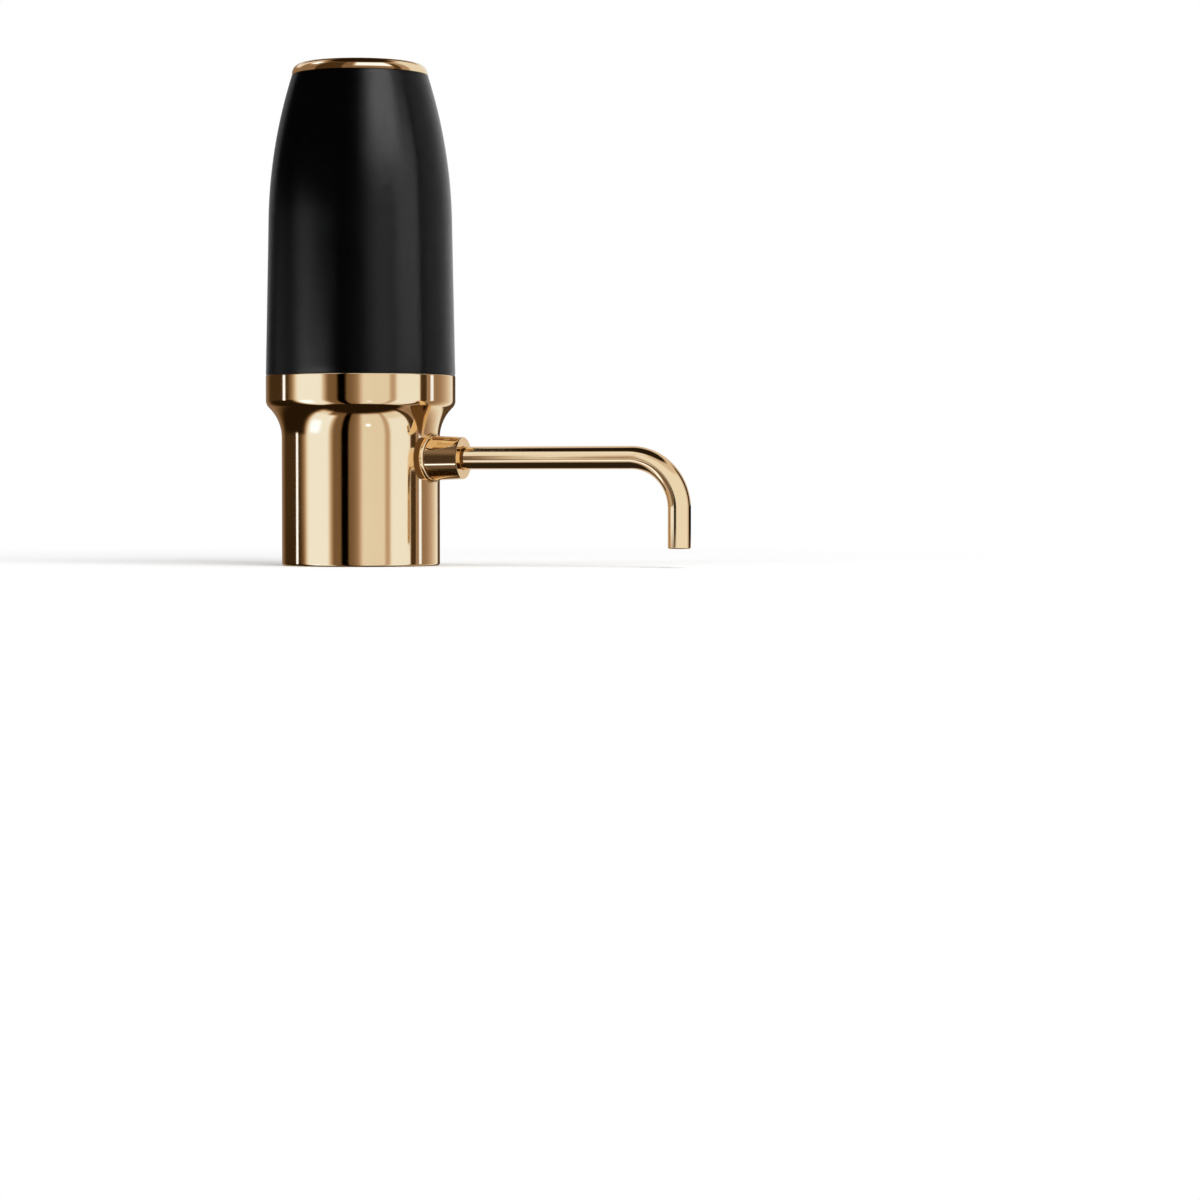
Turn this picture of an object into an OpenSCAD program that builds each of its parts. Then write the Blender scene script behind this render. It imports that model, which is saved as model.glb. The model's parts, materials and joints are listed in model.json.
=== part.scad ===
// Electric wine dispenser that plugs into a container's neck: a grip with a button on top, a polished
// collar that sleeves the neck, and a bent spout. A pump in the grip blows air down through the stopper,
// and the air drives the drink up through the suction fitting and out of the spout.
// Millimetres. The origin is the centre of the collar's rim, +Z is up, and the spout points to +X.

/* [Collar] */
// Outside diameter of the skirt round the neck
collar_d = 39.2; // [37.6:0.2:41]
// Height from the rim to the top of the band
collar_h = 47; // [45:0.5:54]
// Wall of the skirt
skirt_wall = 1.6; // [1.2:0.1:2.4]
// Wall of the thick part that carries the socket and the screws
core_wall = 3.1; // [2.8:0.1:3.6]
// Height of the straight band under the grip
band_h = 6.2; // [4:0.1:7]
// Radius of the hollow sweep under the band
sweep_r = 10.4; // [8:0.2:12]
// Radius of the rounded lower edge of the band
brow_r = 2.4; // [1.6:0.2:5]
// Rounding of the rim
rim_round = 0.5; // [0.3:0.1:0.8]
// Height of the spigot that holds the grip
spigot_h = 4; // [3:0.25:5]
// Wall of the spigot
spigot_wall = 0.9; // [0.7:0.1:1.2]

/* [Grip] */
// Outside diameter at the foot of the grip, and of the band
grip_d = 47; // [46:0.25:50]
// Height of the grip
grip_h = 74.2; // [70:0.5:84]
// Outside diameter at the top of the grip
grip_top_d = 33.7; // [33:0.25:36]
// Height of the plain lower part, where the rounded shoulder starts
grip_plain_h = 38.5; // [30:0.5:44]
// Draft of the plain part, in degrees
grip_draft = 1.15; // [0.5:0.05:1.5]
// Wall of the grip
grip_wall = 2.2; // [1.8:0.1:2.4]

/* [Ring and button] */
// Height of the trim ring
ring_h = 2.8; // [2.2:0.1:4]
// Rounding of the ring's upper outside edge
ring_round = 2.5; // [1:0.1:2.5]
// Depth of the ring's sleeve in the grip
ring_sleeve_h = 4; // [3:0.25:5]
// Diameter of the button
button_d = 26; // [24:0.25:26.5]
// Thickness of the button's cap
button_cap_t = 1.6; // [1.2:0.1:2.2]
// Rise of the cap's crown
button_crown = 0.5; // [0.2:0.1:0.8]

/* [Spout] */
// Outside diameter of the spout tube
spout_od = 5.6; // [5:0.1:6]
// Wall of the spout tube
spout_wall = 0.7; // [0.5:0.1:1]
// Height of the spout above the rim
spout_z = 26.5; // [26:0.25:28]
// Reach from the collar's axis to the outlet's axis
spout_reach = 84; // [70:1:100]
// Radius of the bend, on the tube's axis
spout_bend_r = 12.3; // [10:0.1:16]
// Drop from the level run to the outlet
spout_drop = 22; // [18:0.5:26]
// Distance from the collar's axis to the face of the socket
socket_reach = 27.8; // [26:0.2:31]
// Diameter of the socket at its face
socket_face_d = 10.4; // [9.8:0.1:11]
// Diameter of the socket at its root
socket_root_d = 11.3; // [11:0.1:12]

/* [Stopper and suction] */
// Diameter of the stopper, which is the bore of the neck that it plugs
stopper_d = 18.5; // [18:0.1:19.5]
// Length of the stopper below its flange
stopper_l = 11; // [9:0.25:11.5]
// Thickness of the stopper's flange
stopper_flange_t = 2.5; // [2:0.25:3]
// Outside diameter of the nipple for the suction hose
nipple_d = 5; // [4.6:0.1:5.4]
// Length of the nipple for the suction hose
nipple_l = 4.5; // [3.5:0.25:5]

/* [Pump and power] */
// Diameter of the battery cell
cell_d = 14; // [13:0.1:14.5]
// Length of the battery cell
cell_l = 50; // [47:0.5:53]
// Height of the pump below the motor
pump_h = 19; // [18.5:0.25:21]
// Length of the motor's can
motor_l = 25; // [23:0.25:26]
// Diameter of the motor's shaft
shaft_d = 2; // [1.5:0.1:2.5]
// Thickness of the circuit boards
board_t = 1.2; // [1:0.1:1.6]
// Height of the push switch's body
switch_h = 3.5; // [3:0.1:4.3]

/* [Clearances] */
// Radial gap of parts that turn or slide on each other, and of threads
run_gap = 0.05; // [0.02:0.01:0.1]
// Radial gap of fixed parts that plug together
slip_gap = 0.1; // [0.05:0.01:0.15]
// Gap round the button
button_gap = 0.3; // [0.2:0.05:0.4]
// Gap between neighbours inside the grip, and to the grip
inner_gap = 0.5; // [0.4:0.05:0.8]

/* [Hidden] */
$fn = 96;
arc_steps = 16;
eps = 0.01;
over = 1;

// Radii of the shells
collar_r = collar_d / 2;
grip_r = grip_d / 2;
band_r = grip_r;
skirt_r = collar_r - skirt_wall;
grip_bore_r = grip_r - grip_wall;
grip_top_r = grip_top_d / 2;
spigot_r = grip_bore_r - slip_gap;
deck_r = spigot_r - spigot_wall;

// Screws: thread, head, depth of thread, slack at the thread's end and room round a head
screw_r = 0.8;
screw_head_r = 1.7;
screw_head_h = 1.4;
screw_bite = 6;
screw_slack = 0.2;
screw_head_room = 0.7;

// Bore of the collar's thick part, which leaves a deck as wide as a screw's head
core_r = min(collar_r - core_wall, deck_r - 2 * screw_head_r);

// The collar's shoulder, two tangent arcs from the skirt to the band
sweep_angle = acos(1 - (band_r - collar_r) / (sweep_r + brow_r));
band_z = collar_h - band_h;
sweep_z = band_z - (sweep_r + brow_r) * sin(sweep_angle);
band_edge = 0.25;
mouth_chamfer = 0.4;
bead_rise = 0.25;
bead_half_h = 0.6;

// Deck in the collar that carries the manifold
deck_depth = 8;
deck_z = collar_h - deck_depth;
gasket_t = 0.6;
flange_z = deck_z + gasket_t;
flange_t = 3;
manifold_top = flange_z + flange_t;
manifold_drop = 6.5;
manifold_z = spout_z - manifold_drop;
manifold_r = core_r - 2 * slip_gap;
flange_r = deck_r - slip_gap;
deck_screws = 3;
deck_screw_pitch = min((core_r + collar_r) / 2, flange_r - screw_head_r - slip_gap);
deck_screw_turn = 60;

// Stack inside the grip, from the chassis's base up
base_t = 2.2;
base_top = manifold_top + base_t;
pump_stand_h = 7.2;
pump_z = base_top + pump_stand_h;
motor_z = pump_z + pump_h;
end_cap_t = 3;
end_cap_z = motor_z + motor_l;
motor_top = end_cap_z + end_cap_t;
tab_t = 0.2;
cell_stand_h = 5;
cell_seat_z = base_top + cell_stand_h;
cell_z = cell_seat_z + tab_t;
cell_top = cell_z + cell_l;
pad_min_t = 1;
plate_gap = 2;
plate_z = max(cell_top + tab_t + pad_min_t, motor_top + plate_gap);
plate_t = 2;
cell_seat_inset = 1;
clamp_t = 1.1;
clamp_h = 8;
clamp_lift = 8;
clamp_z = motor_z + clamp_lift;

// The grip's rounded shoulder, one arc tangent to the plain part
grip_z = collar_h;
grip_top_z = grip_z + grip_h;
shoulder_z0 = grip_z + grip_plain_h;
shoulder_r0 = grip_r - grip_plain_h * tan(grip_draft);
shoulder_dr = grip_top_r - shoulder_r0;
shoulder_dz = grip_top_z - shoulder_z0;
shoulder_out = shoulder_dr * cos(grip_draft) + shoulder_dz * sin(grip_draft);
shoulder_r = -(shoulder_dr * shoulder_dr + shoulder_dz * shoulder_dz) / (2 * shoulder_out);
shoulder_x = shoulder_r0 - shoulder_r * cos(grip_draft);
shoulder_z = shoulder_z0 - shoulder_r * sin(grip_draft);

// Outside radius of the grip at height z
function grip_r_at(z) = z < shoulder_z0
    ? grip_r - (z - grip_z) * tan(grip_draft)
    : shoulder_x + sqrt(shoulder_r * shoulder_r - (z - shoulder_z) * (z - shoulder_z));

// Room inside the grip at height z
function room_r(z) = grip_r_at(z) - grip_wall - inner_gap;

// Layout inside the grip: the pump and the cell fill its width side by side
cell_side = room_r(cell_top);
pump_side = min(room_r(motor_top), room_r(clamp_z + clamp_h) - clamp_t - slip_gap);
cell_r = cell_d / 2;
pump_r = (cell_side + pump_side - inner_gap) / 2 - cell_r;
pump_x = pump_r - pump_side;
cell_x = cell_side - cell_r;

// Stopper and suction fitting
stopper_r = stopper_d / 2;
stopper_flange_gap = 2;
stopper_flange_r = skirt_r - stopper_flange_gap;
seat_z = manifold_z - stopper_flange_t;
stopper_z = seat_z - stopper_l;
land_count = 3;
land_h = 2.2;
groove_depth = 0.8;
groove_r = stopper_r - groove_depth;
taper_h = 1.4;
barb_r = 3.2;
barb_bore_r = 1.6;
barb_bite = 4;
hex_r = 4.4;
hex_t = 1.2;
nipple_r = nipple_d / 2;
nipple_lead = 0.4;
air_r = 1.2;
air_x = -(barb_r + groove_r) / 2;

// Spout and socket
spout_r = spout_od / 2;
spout_bore_r = spout_r - spout_wall;
outlet_z = spout_z - spout_drop;
outlet_round = 0.4;
socket_face_r = socket_face_d / 2;
socket_root_r = socket_root_d / 2;
socket_bore_r = spout_r + run_gap;
socket_chamfer = 0.3;
tail_wall = 1.65;
tail_l = 6;
tail_stop = 4.5;
tail_r = socket_bore_r + tail_wall;
tail_x = core_r - tail_l;
tail_stop_x = tail_x + tail_stop;
saddle_t = 0.5;
saddle_rim = 0.5;
saddle_r = socket_root_r + saddle_rim;
seal_r = 0.44;
seal_groove_w = 1.3;
inner_seal_inset = 1.5;
outer_seal_inset = 2.4;
socket_seal_inset = 2.4;
spout_seal_x = [core_r + inner_seal_inset, collar_r + outer_seal_inset];
socket_seal_x = tail_x + socket_seal_inset;

// Air line from the pump to the manifold
valve_flange_r = 3.5;
valve_flange_t = 1;
valve_r = 2.2;
valve_l = 4;
valve_room = 0.3;
inlet_t = 3;
valve_top = manifold_top - inlet_t;
valve_seat_z = valve_top - valve_flange_t;
air_nipple_r = 1.75;
air_bore_r = 0.9;
air_nipple_l = 4;
hose_r = 3;
hose_gap = 0.4;

// Strips on the cell's ends
tab_fold = 5;
tab_w = 4;
tab_gap = 0.3;
tab_y = cell_r + tab_gap;

// Chassis
base_r = flange_r;
post_x0 = -2;
post_gap = 0.9;
post_x1 = cell_x - tab_w / 2 - post_gap;
post_y0 = 5;
post_y1 = sqrt(cell_side * cell_side - post_x1 * post_x1);
pedestal_wall = 2;
pedestal_gap = 1.2;
plate_inset = 0.4;
plate_r = grip_top_r - plate_inset;
standoff_h = 3;
standoff_r = 2.4;
standoff_pitch = 10.5;
standoff_turn = 60;
chassis_screw_edge = 1.8;
chassis_screw_pitch = manifold_r - chassis_screw_edge;
chassis_screw_turns = [40, 110, 250, 320];
clamp_in_r = pump_r + slip_gap;
clamp_arm_y = sqrt(pow(clamp_in_r + clamp_t / 2, 2) - pow(post_x0 - pump_x, 2));
clamp_ear_inset = 0.3;
clamp_ear_y = post_y1 - clamp_ear_inset;
clamp_screw_y = clamp_ear_y - screw_head_r - slip_gap;

// Pump, from its cover upwards
cover_t = 3.5;
chamber_r = 3.4;
chamber_h = 1.5;
valve_plate_t = 2;
membrane_t = 1.2;
valve_plate_z = pump_z + cover_t;
membrane_z = valve_plate_z + valve_plate_t;
housing_z = membrane_z + membrane_t;
housing_wall = 2.4;
housing_top_t = 2;
pump_screw_pitch = pump_r - housing_wall / 2;
pump_screw_turn = 60;
pedestal_r = pump_screw_pitch - screw_head_r - pedestal_gap;
cups = 3;
cup_r = 0.24 * pump_r;
cup_wall = 0.6;
cup_h = 3.6;
cup_pitch = 0.45 * pump_r;
cup_stem_r = 0.8;
cup_head_r = 1.2;
cup_head_h = 0.8;
wobble_z = housing_z + cup_h;
wobble_t = 1.5;
wobble_room = 1;
wobble_r = pump_r - housing_wall - wobble_room;
drive_pin_r = 0.7;
drive_pin_x = 1.5;
eccentric_r = 4.8;
eccentric_h = 3.4;
eccentric_roof = 1.2;
eccentric_gap = 0.4;
eccentric_z = motor_z - housing_top_t - eccentric_gap - eccentric_h;
eccentric_roof_z = eccentric_z + eccentric_h - eccentric_roof;
weight_r = 6;
drive_pin_room = 1.2;

// Motor
can_wall = 0.7;
can_front_t = 1;
motor_boss_r = 3.4;
motor_boss_h = 1.2;
motor_screw_pitch = (motor_boss_r + pump_r - housing_wall) / 2;
shaft_r = shaft_d / 2;
shaft_cover = 0.8;
shaft_top = motor_top - shaft_cover;
bush_r = 2.4;
bush_h = 1.8;
magnet_t = 2;
magnet_lift = 1;
magnet_headroom = 4;
air_gap = 0.8;
magnet_split = 0.3;
magnet_r = pump_r - can_wall - slip_gap;
magnet_half_w = magnet_r - magnet_t - magnet_split;
rotor_r = magnet_r - magnet_t - air_gap;
rotor_window_r = 0.19 * rotor_r;
rotor_slot_w = 0.15 * rotor_r;
rotor_lift = 4.5;
rotor_headroom = 7.5;
rotor_z = motor_z + rotor_lift;
rotor_top = end_cap_z - rotor_headroom;
rotor_slots = 5;
winding_h = 2.2;
commutator_r = 2.6;
commutator_gap = 0.3;
commutator_headroom = 1;
commutator_z = rotor_top + winding_h + commutator_gap;
commutator_h = end_cap_z - commutator_z - commutator_headroom;
brush_z = commutator_z + commutator_h / 2;
brush_y = 4.2;
brush_t = 0.4;
brush_w = 1.8;
terminal_rise = 1.2;
terminal_top = motor_top + terminal_rise;

// Boards, switch and charging inlet
switch_board_z = plate_z + plate_t + standoff_h;
switch_board_top = switch_board_z + board_t;
switch_board_inset = 2;
switch_board_r = plate_r - switch_board_inset;
switch_w = 6;
switch_floor_t = 1;
plunger_r = 1.7;
plunger_h = 1.5;
plunger_z = switch_board_top + switch_h;
charge_board_w = 14;
charge_board_lift = 3;
charge_board_z = base_top + charge_board_lift;
charge_board_h = 26;
charge_board_top = charge_board_z + charge_board_h;
charge_board_y = post_y1 + board_t;
charge_screw_x = (post_x0 + post_x1) / 2;
charge_screw_low = 3;
charge_screw_high = 4;
charge_screw_z = [charge_board_z + charge_screw_low, charge_board_top - charge_screw_high];
usb_lift = 12;
usb_z = base_top + usb_lift;
usb_w = 8.94;
usb_h = 3.26;
usb_wall = 0.3;
usb_back_t = 0.8;
usb_inset = 0.6;
usb_face_y = grip_r_at(usb_z) - usb_inset;
tongue_w = 6.7;
tongue_t = 0.7;

// Ring, button and spring
ring_top = grip_top_z + ring_h;
ring_sleeve_z = grip_top_z - ring_sleeve_h;
ring_edge = 0.3;
button_r = button_d / 2;
ring_bore_r = button_r + button_gap;
sleeve_share = 0.35;
ring_sleeve_r = ring_bore_r + sleeve_share * (grip_top_r - ring_bore_r);
ring_fillet = min(ring_round, ring_h - ring_edge, grip_top_r - ring_bore_r - 2 * ring_edge);
button_flange_r = ring_sleeve_r - 2 * slip_gap;
button_flange_t = 1.1;
button_flange_z = ring_sleeve_z - slip_gap - button_flange_t;
button_cap_z = ring_top - button_crown - button_cap_t;
button_wall = 1.4;
stem_r = 2;
stem_z = plunger_z + plunger_h;
spring_wire_r = 0.3;
spring_r = 5.3;
spring_turns = 5;
spring_rings = 12;
spring_boss_wall = 2;
spring_lift = 1.5;
spring_top = button_flange_z + spring_lift;

// Leads, and the points between their ends: X, and Y and Z from the charge board, for the cell's two,
// and Y and Z from the charge board for the boards' four
lead_r = 0.5;
lead_sides = 8;
lead_stub = 1.2;
lead_inset = 3;
charge_board_mid = post_y1 + board_t / 2;
cell_lead_x = 4.5;
cell_lead_rise = 4.4;
cell_lead_z = charge_board_z + cell_lead_rise;
upper_route = [[12.6, -5.7, 21.2], [11.6, -2.8, 16.2], [10.2, -0.2, 10.2], [7.5, 1, 5.7]];
lower_route = [[12.6, -6.2, 4.8], [12, -3, 4.6], [10.4, -0.2, 4.4]];
link_x = [-6.3, -5.1, -3.9, -2.7];
link_inset = 2.4;
link_y = switch_board_r - link_inset;
link_route = [[0.1, 6.2], [-0.1, 16.2], [-2.2, 23.2], [-4.2, 27.2]];

// Shapes that repeat

// Points of an arc about (x, y), from angle a0 to a1
function arc(x, y, r, a0, a1, n = arc_steps) =
    [for (i = [0:n]) let (a = a0 + (a1 - a0) * i / n) [x + r * cos(a), y + r * sin(a)]];

// Turned part with the given outline of radius and height
module turned(points) {
    rotate_extrude() polygon(points);
}

// Upright rod from height z
module rod(r, z, h) {
    translate([0, 0, z]) cylinder(r = r, h = h);
}

// Upright pipe from height z
module pipe(r, bore, z, h) {
    difference() {
        rod(r, z, h);
        rod(bore, z - eps, h + 2 * eps);
    }
}

// Rod along +X at the spout's height, from x over length l
module spout_rod(r, x, l) {
    translate([x, 0, spout_z]) rotate([0, 90, 0]) cylinder(r = r, h = l);
}

// Cone along +X at the spout's height, from x over length l
module spout_cone(r1, r2, x, l) {
    translate([x, 0, spout_z]) rotate([0, 90, 0]) cylinder(r1 = r1, r2 = r2, h = l);
}

// Sealing ring about the spout's axis
module spout_ring(ring_r, x) {
    translate([x, 0, spout_z]) rotate([0, 90, 0])
        rotate_extrude() translate([ring_r, 0]) circle(r = seal_r);
}

// Copies on a circle about the Z axis, one at each angle
module at_angles(angles, pitch) {
    for (a = angles) rotate(a) translate([pitch, 0, 0]) children();
}

// Copies spread evenly on a circle about the Z axis
module round_about(n, pitch, turn = 0) {
    at_angles([for (i = [0:n - 1]) turn + 360 * i / n], pitch) children();
}

// The pump's axis and the cell's axis
module at_pump() {
    translate([pump_x, 0, 0]) children();
}
module at_cell() {
    translate([cell_x, 0, 0]) children();
}

// Screw that enters downwards at the origin, with its head above and a hexagon socket in it
module screw(bite) {
    rod(screw_r, -bite, bite + eps);
    difference() {
        rod(screw_head_r, 0, screw_head_h);
        translate([0, 0, screw_head_h / 2]) cylinder(r = screw_r, h = screw_head_h, $fn = 6);
    }
}

// Outline with two round ends, w wide and h high
module slot_outline(w, h) {
    square([w - h, h], center = true);
    for (s = [-1, 1]) translate([s * (w - h) / 2, 0]) circle(d = h);
}

// Places an outline of X and Z so that it runs along +Y from y over length l
module along_y(y, z, l) {
    translate([0, y, z]) rotate([-90, 0, 0]) linear_extrude(l) children();
}

// Smooth curve through points, n steps to a span
function curve(p, n = 2) = let (last = len(p) - 1) concat([for (i = [0:last - 1], k = [0:n - 1])
    let (a = p[max(i - 1, 0)], b = p[i], c = p[i + 1], d = p[min(i + 2, last)], t = k / n)
    b + t / 2 * (c - a + t * (2 * a - 5 * b + 4 * c - d + t * (3 * (b - c) + d - a)))], [p[last]]);

// Route of a lead: straight first and last spans, so that its ends meet their faces squarely
function lead_path(p) = let (last = len(p) - 1)
    concat([p[0]], curve([for (i = [1:last - 1]) p[i]]), [p[last]]);

// Ring of points about q, square to the direction d, laid out from the vector up
function ring_points(q, d, r, up) = let (
    side = cross(d, up),
    v = side / norm(side),
    w = cross(v, d) / norm(d)
) [for (k = [0:lead_sides - 1]) let (a = 360 * k / lead_sides) q + r * (cos(a) * v + sin(a) * w)];

// Round wire of radius r swept along points, as one closed polyhedron; up is never along the wire
module wire(p, r, up) {
    n = len(p);
    m = lead_sides;
    rings = [for (i = [0:n - 1]) each ring_points(p[i], p[min(i + 1, n - 1)] - p[max(i - 1, 0)], r, up)];
    sides = [for (i = [0:n - 2], k = [0:m - 1]) let (a = i * m + k, b = i * m + (k + 1) % m)
        each [[a, b, a + m], [b, b + m, a + m]]];
    ends = [for (k = [1:m - 2]) each [[0, k + 1, k], [(n - 1) * m, (n - 1) * m + k, (n - 1) * m + k + 1]]];
    polyhedron(points = rings, faces = concat(sides, ends));
}

// Collar

// Outside of the collar grown by t, as points of radius and height
function collar_outline(t) = concat(
    arc(collar_r - rim_round, rim_round, rim_round + t, -90, 0, 6),
    [for (i = [0:arc_steps]) let (a = sweep_angle * i / arc_steps)
        [collar_r + sweep_r - (sweep_r - t) * cos(a), sweep_z + (sweep_r - t) * sin(a)]],
    [for (i = [1:arc_steps]) let (a = sweep_angle * (i / arc_steps - 1))
        [band_r - brow_r + (brow_r + t) * cos(a), band_z + (brow_r + t) * sin(a)]],
    [[band_r + t, collar_h - band_edge], [band_r + t - band_edge, collar_h]]
);

// Spigot above the band, with the bead that snaps into the grip
function spigot_outline() = let (mid = collar_h + spigot_h / 2) [
    [spigot_r, collar_h],
    [spigot_r, mid - bead_half_h],
    [spigot_r + bead_rise, mid],
    [spigot_r, mid + bead_half_h],
    [spigot_r, collar_h + spigot_h],
    [deck_r, collar_h + spigot_h]
];

// The outside grown by t, as a solid
module collar_body(t) {
    turned(concat([[0, -t]], collar_outline(t), [[0, collar_h]]));
}

module collar() {
    color("goldenrod") difference() {
        turned(concat(collar_outline(0), spigot_outline(), [
            [deck_r, deck_z], [core_r, deck_z], [core_r, manifold_z], [skirt_r, manifold_z],
            [skirt_r, mouth_chamfer], [skirt_r + mouth_chamfer, 0]
        ]));
        spout_rod(tail_r + slip_gap, 0, grip_r);
        round_about(deck_screws, deck_screw_pitch, deck_screw_turn)
            rod(screw_r + run_gap, deck_z - screw_bite, screw_bite + over);
    }
}

module deck_gasket() {
    color("dimgray") difference() {
        pipe(flange_r, core_r + slip_gap, deck_z, gasket_t);
        round_about(deck_screws, deck_screw_pitch, deck_screw_turn)
            rod(screw_r + slip_gap, deck_z - over, gasket_t + 2 * over);
    }
}

// Manifold and stopper

// Pocket of the check valve and its inlet, with the channel down to the stopper
module air_way() {
    at_pump() rod(valve_flange_r + slip_gap, valve_seat_z, inlet_t + valve_flange_t + over);
    at_pump() rod(valve_r + valve_room, valve_seat_z - valve_l - over, valve_l + 2 * over);
    translate([air_x, 0, 0]) rod(air_r, manifold_z - over, valve_seat_z - manifold_z);
}

// Way of the drink, from the suction fitting to the socket
module drink_way() {
    rod(barb_r + run_gap, manifold_z - over, barb_bite + over);
    rod(barb_bore_r, manifold_z, manifold_drop);
    spout_rod(spout_bore_r, -spout_bore_r, core_r);
    spout_rod(tail_r + slip_gap, tail_x - slip_gap, core_r);
}

module manifold() {
    color("whitesmoke") difference() {
        union() {
            rod(manifold_r, manifold_z, flange_z - manifold_z + eps);
            rod(flange_r, flange_z, flange_t);
        }
        drink_way();
        air_way();
        round_about(deck_screws, deck_screw_pitch, deck_screw_turn)
            rod(screw_r + slip_gap, flange_z - over, flange_t + 2 * over);
        at_angles(chassis_screw_turns, chassis_screw_pitch)
            rod(screw_r + run_gap, manifold_top - screw_bite, screw_bite + over);
    }
}

module manifold_screws() {
    color("silver") round_about(deck_screws, deck_screw_pitch, deck_screw_turn)
        translate([0, 0, manifold_top]) screw(flange_t + gasket_t + screw_bite - screw_slack);
}

// Plug with equal lands, which seal in the neck, and a flange that lies on its lip
function stopper_outline() = let (pitch = (stopper_l - taper_h - land_h) / (land_count - 1)) concat(
    [[barb_r + run_gap, manifold_z], [stopper_flange_r, manifold_z], [stopper_flange_r, seat_z]],
    [for (i = [0:land_count - 1]) let (top = seat_z - i * pitch) each concat(
        [[stopper_r, top], [stopper_r, top - land_h]],
        i < land_count - 1 ? [[groove_r, top - land_h], [groove_r, top - pitch]] : []
    )],
    [[stopper_r - taper_h / 2, stopper_z], [barb_r + run_gap, stopper_z]]
);

module stopper() {
    color("lightgray") difference() {
        turned(stopper_outline());
        translate([air_x, 0, 0]) rod(air_r, stopper_z - over, stopper_l + stopper_flange_t + 2 * over);
    }
}

// Fitting that holds the stopper to the manifold, with the nipple for the suction hose
module suction_barb() {
    hex_z = stopper_z - hex_t;
    nipple_z = hex_z - nipple_l;
    color("gainsboro") difference() {
        union() {
            rod(barb_r, stopper_z - eps, manifold_z + barb_bite - stopper_z);
            translate([0, 0, hex_z]) cylinder(r = hex_r, h = hex_t, $fn = 6);
            rod(nipple_r, nipple_z + nipple_lead, nipple_l - nipple_lead + eps);
            translate([0, 0, nipple_z])
                cylinder(r1 = nipple_r - nipple_lead, r2 = nipple_r, h = nipple_lead);
        }
        rod(barb_bore_r, nipple_z - over, manifold_z + barb_bite - nipple_z + 2 * over);
    }
}

// Duckbill valve, a flange and two lips that close on a slit
module check_valve() {
    lip = 0.4;
    color("lightgray") at_pump() {
        rod(valve_flange_r, valve_seat_z, valve_flange_t);
        intersection() {
            rod(valve_r, valve_seat_z - valve_l, valve_l + eps);
            translate([0, -valve_r, valve_seat_z]) rotate([-90, 0, 0]) linear_extrude(2 * valve_r)
                polygon([[-lip, valve_l], [lip, valve_l], [valve_r, -eps], [-valve_r, -eps]]);
        }
    }
}

module air_inlet() {
    color("gainsboro") at_pump() difference() {
        union() {
            rod(valve_flange_r, valve_top, inlet_t);
            rod(air_nipple_r, manifold_top - eps, air_nipple_l + eps);
        }
        rod(air_bore_r, valve_top - over, inlet_t + air_nipple_l + 2 * over);
    }
}

module air_hose() {
    hose_z = manifold_top + hose_gap;
    color("lightgray") at_pump()
        pipe(hose_r, air_nipple_r + run_gap, hose_z, pump_z - hose_gap - hose_z);
}

// Spout

// Socket on the collar's side: a tapered boss, a saddle flange on the skirt and a tail in the manifold
module spout_socket() {
    root_x = core_r;
    tip_x = socket_reach - socket_chamfer;
    color("goldenrod") difference() {
        union() {
            spout_rod(tail_r, tail_x, collar_r + over - tail_x);
            difference() {
                union() {
                    spout_cone(socket_root_r, socket_face_r, root_x, tip_x - root_x);
                    spout_cone(socket_face_r, socket_face_r - socket_chamfer, tip_x, socket_chamfer);
                    intersection() {
                        spout_rod(saddle_r, root_x, collar_r);
                        collar_body(slip_gap + saddle_t);
                    }
                }
                collar_body(slip_gap);
            }
        }
        spout_rod(socket_bore_r, tail_stop_x, socket_reach);
        spout_rod(spout_bore_r, tail_x - over, socket_reach);
        for (x = spout_seal_x)
            spout_rod(socket_bore_r + 2 * seal_r + eps, x - seal_groove_w / 2, seal_groove_w);
        difference() {
            spout_rod(tail_r + over, socket_seal_x - seal_groove_w / 2, seal_groove_w);
            spout_rod(tail_r + slip_gap - 2 * seal_r - eps, tail_x, 2 * seal_groove_w + tail_r);
        }
    }
}

module socket_seal() {
    color("dimgray") spout_ring(tail_r + slip_gap - seal_r - eps, socket_seal_x);
}

module spout_seals() {
    color("dimgray") for (x = spout_seal_x) spout_ring(socket_bore_r + seal_r, x);
}

// Level run, bend and drop as a bar of radius r, longer by extra at both ends
module spout_bar(r, extra) {
    start_x = tail_stop_x + 2 * slip_gap;
    bend_x = spout_reach - spout_bend_r;
    bend_z = spout_z - spout_bend_r;
    spout_rod(r, start_x - extra, bend_x - start_x + extra + eps);
    translate([bend_x, 0, bend_z]) rotate([90, 0, 0])
        rotate_extrude(angle = 90) translate([spout_bend_r, 0]) circle(r = r);
    translate([spout_reach, 0, 0]) rod(r, outlet_z - extra, bend_z - outlet_z + extra + eps);
}

module spout_tube() {
    color("goldenrod") difference() {
        spout_bar(spout_r, 0);
        spout_bar(spout_bore_r, over);
        translate([spout_reach, 0, outlet_z - eps]) difference() {
            cylinder(r = spout_r + over, h = outlet_round);
            cylinder(r1 = spout_r - outlet_round, r2 = spout_r, h = outlet_round);
        }
    }
}

// Grip, ring and button

// Outside of the grip set in by t, from its foot to its top
function grip_outline(t) = let (end = asin((grip_top_z - shoulder_z) / shoulder_r)) concat(
    [[grip_r - t, grip_z]],
    arc(shoulder_x, shoulder_z, shoulder_r - t, grip_draft, end, 2 * arc_steps)
);

// Snap groove for the bead on the collar's spigot
module snap_groove() {
    mid = grip_z + spigot_h / 2;
    half_h = bead_half_h + bead_rise;
    turned([[0, mid - half_h], [grip_bore_r, mid - half_h], [grip_bore_r + bead_rise, mid],
        [grip_bore_r, mid + half_h], [0, mid + half_h]]);
}

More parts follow.
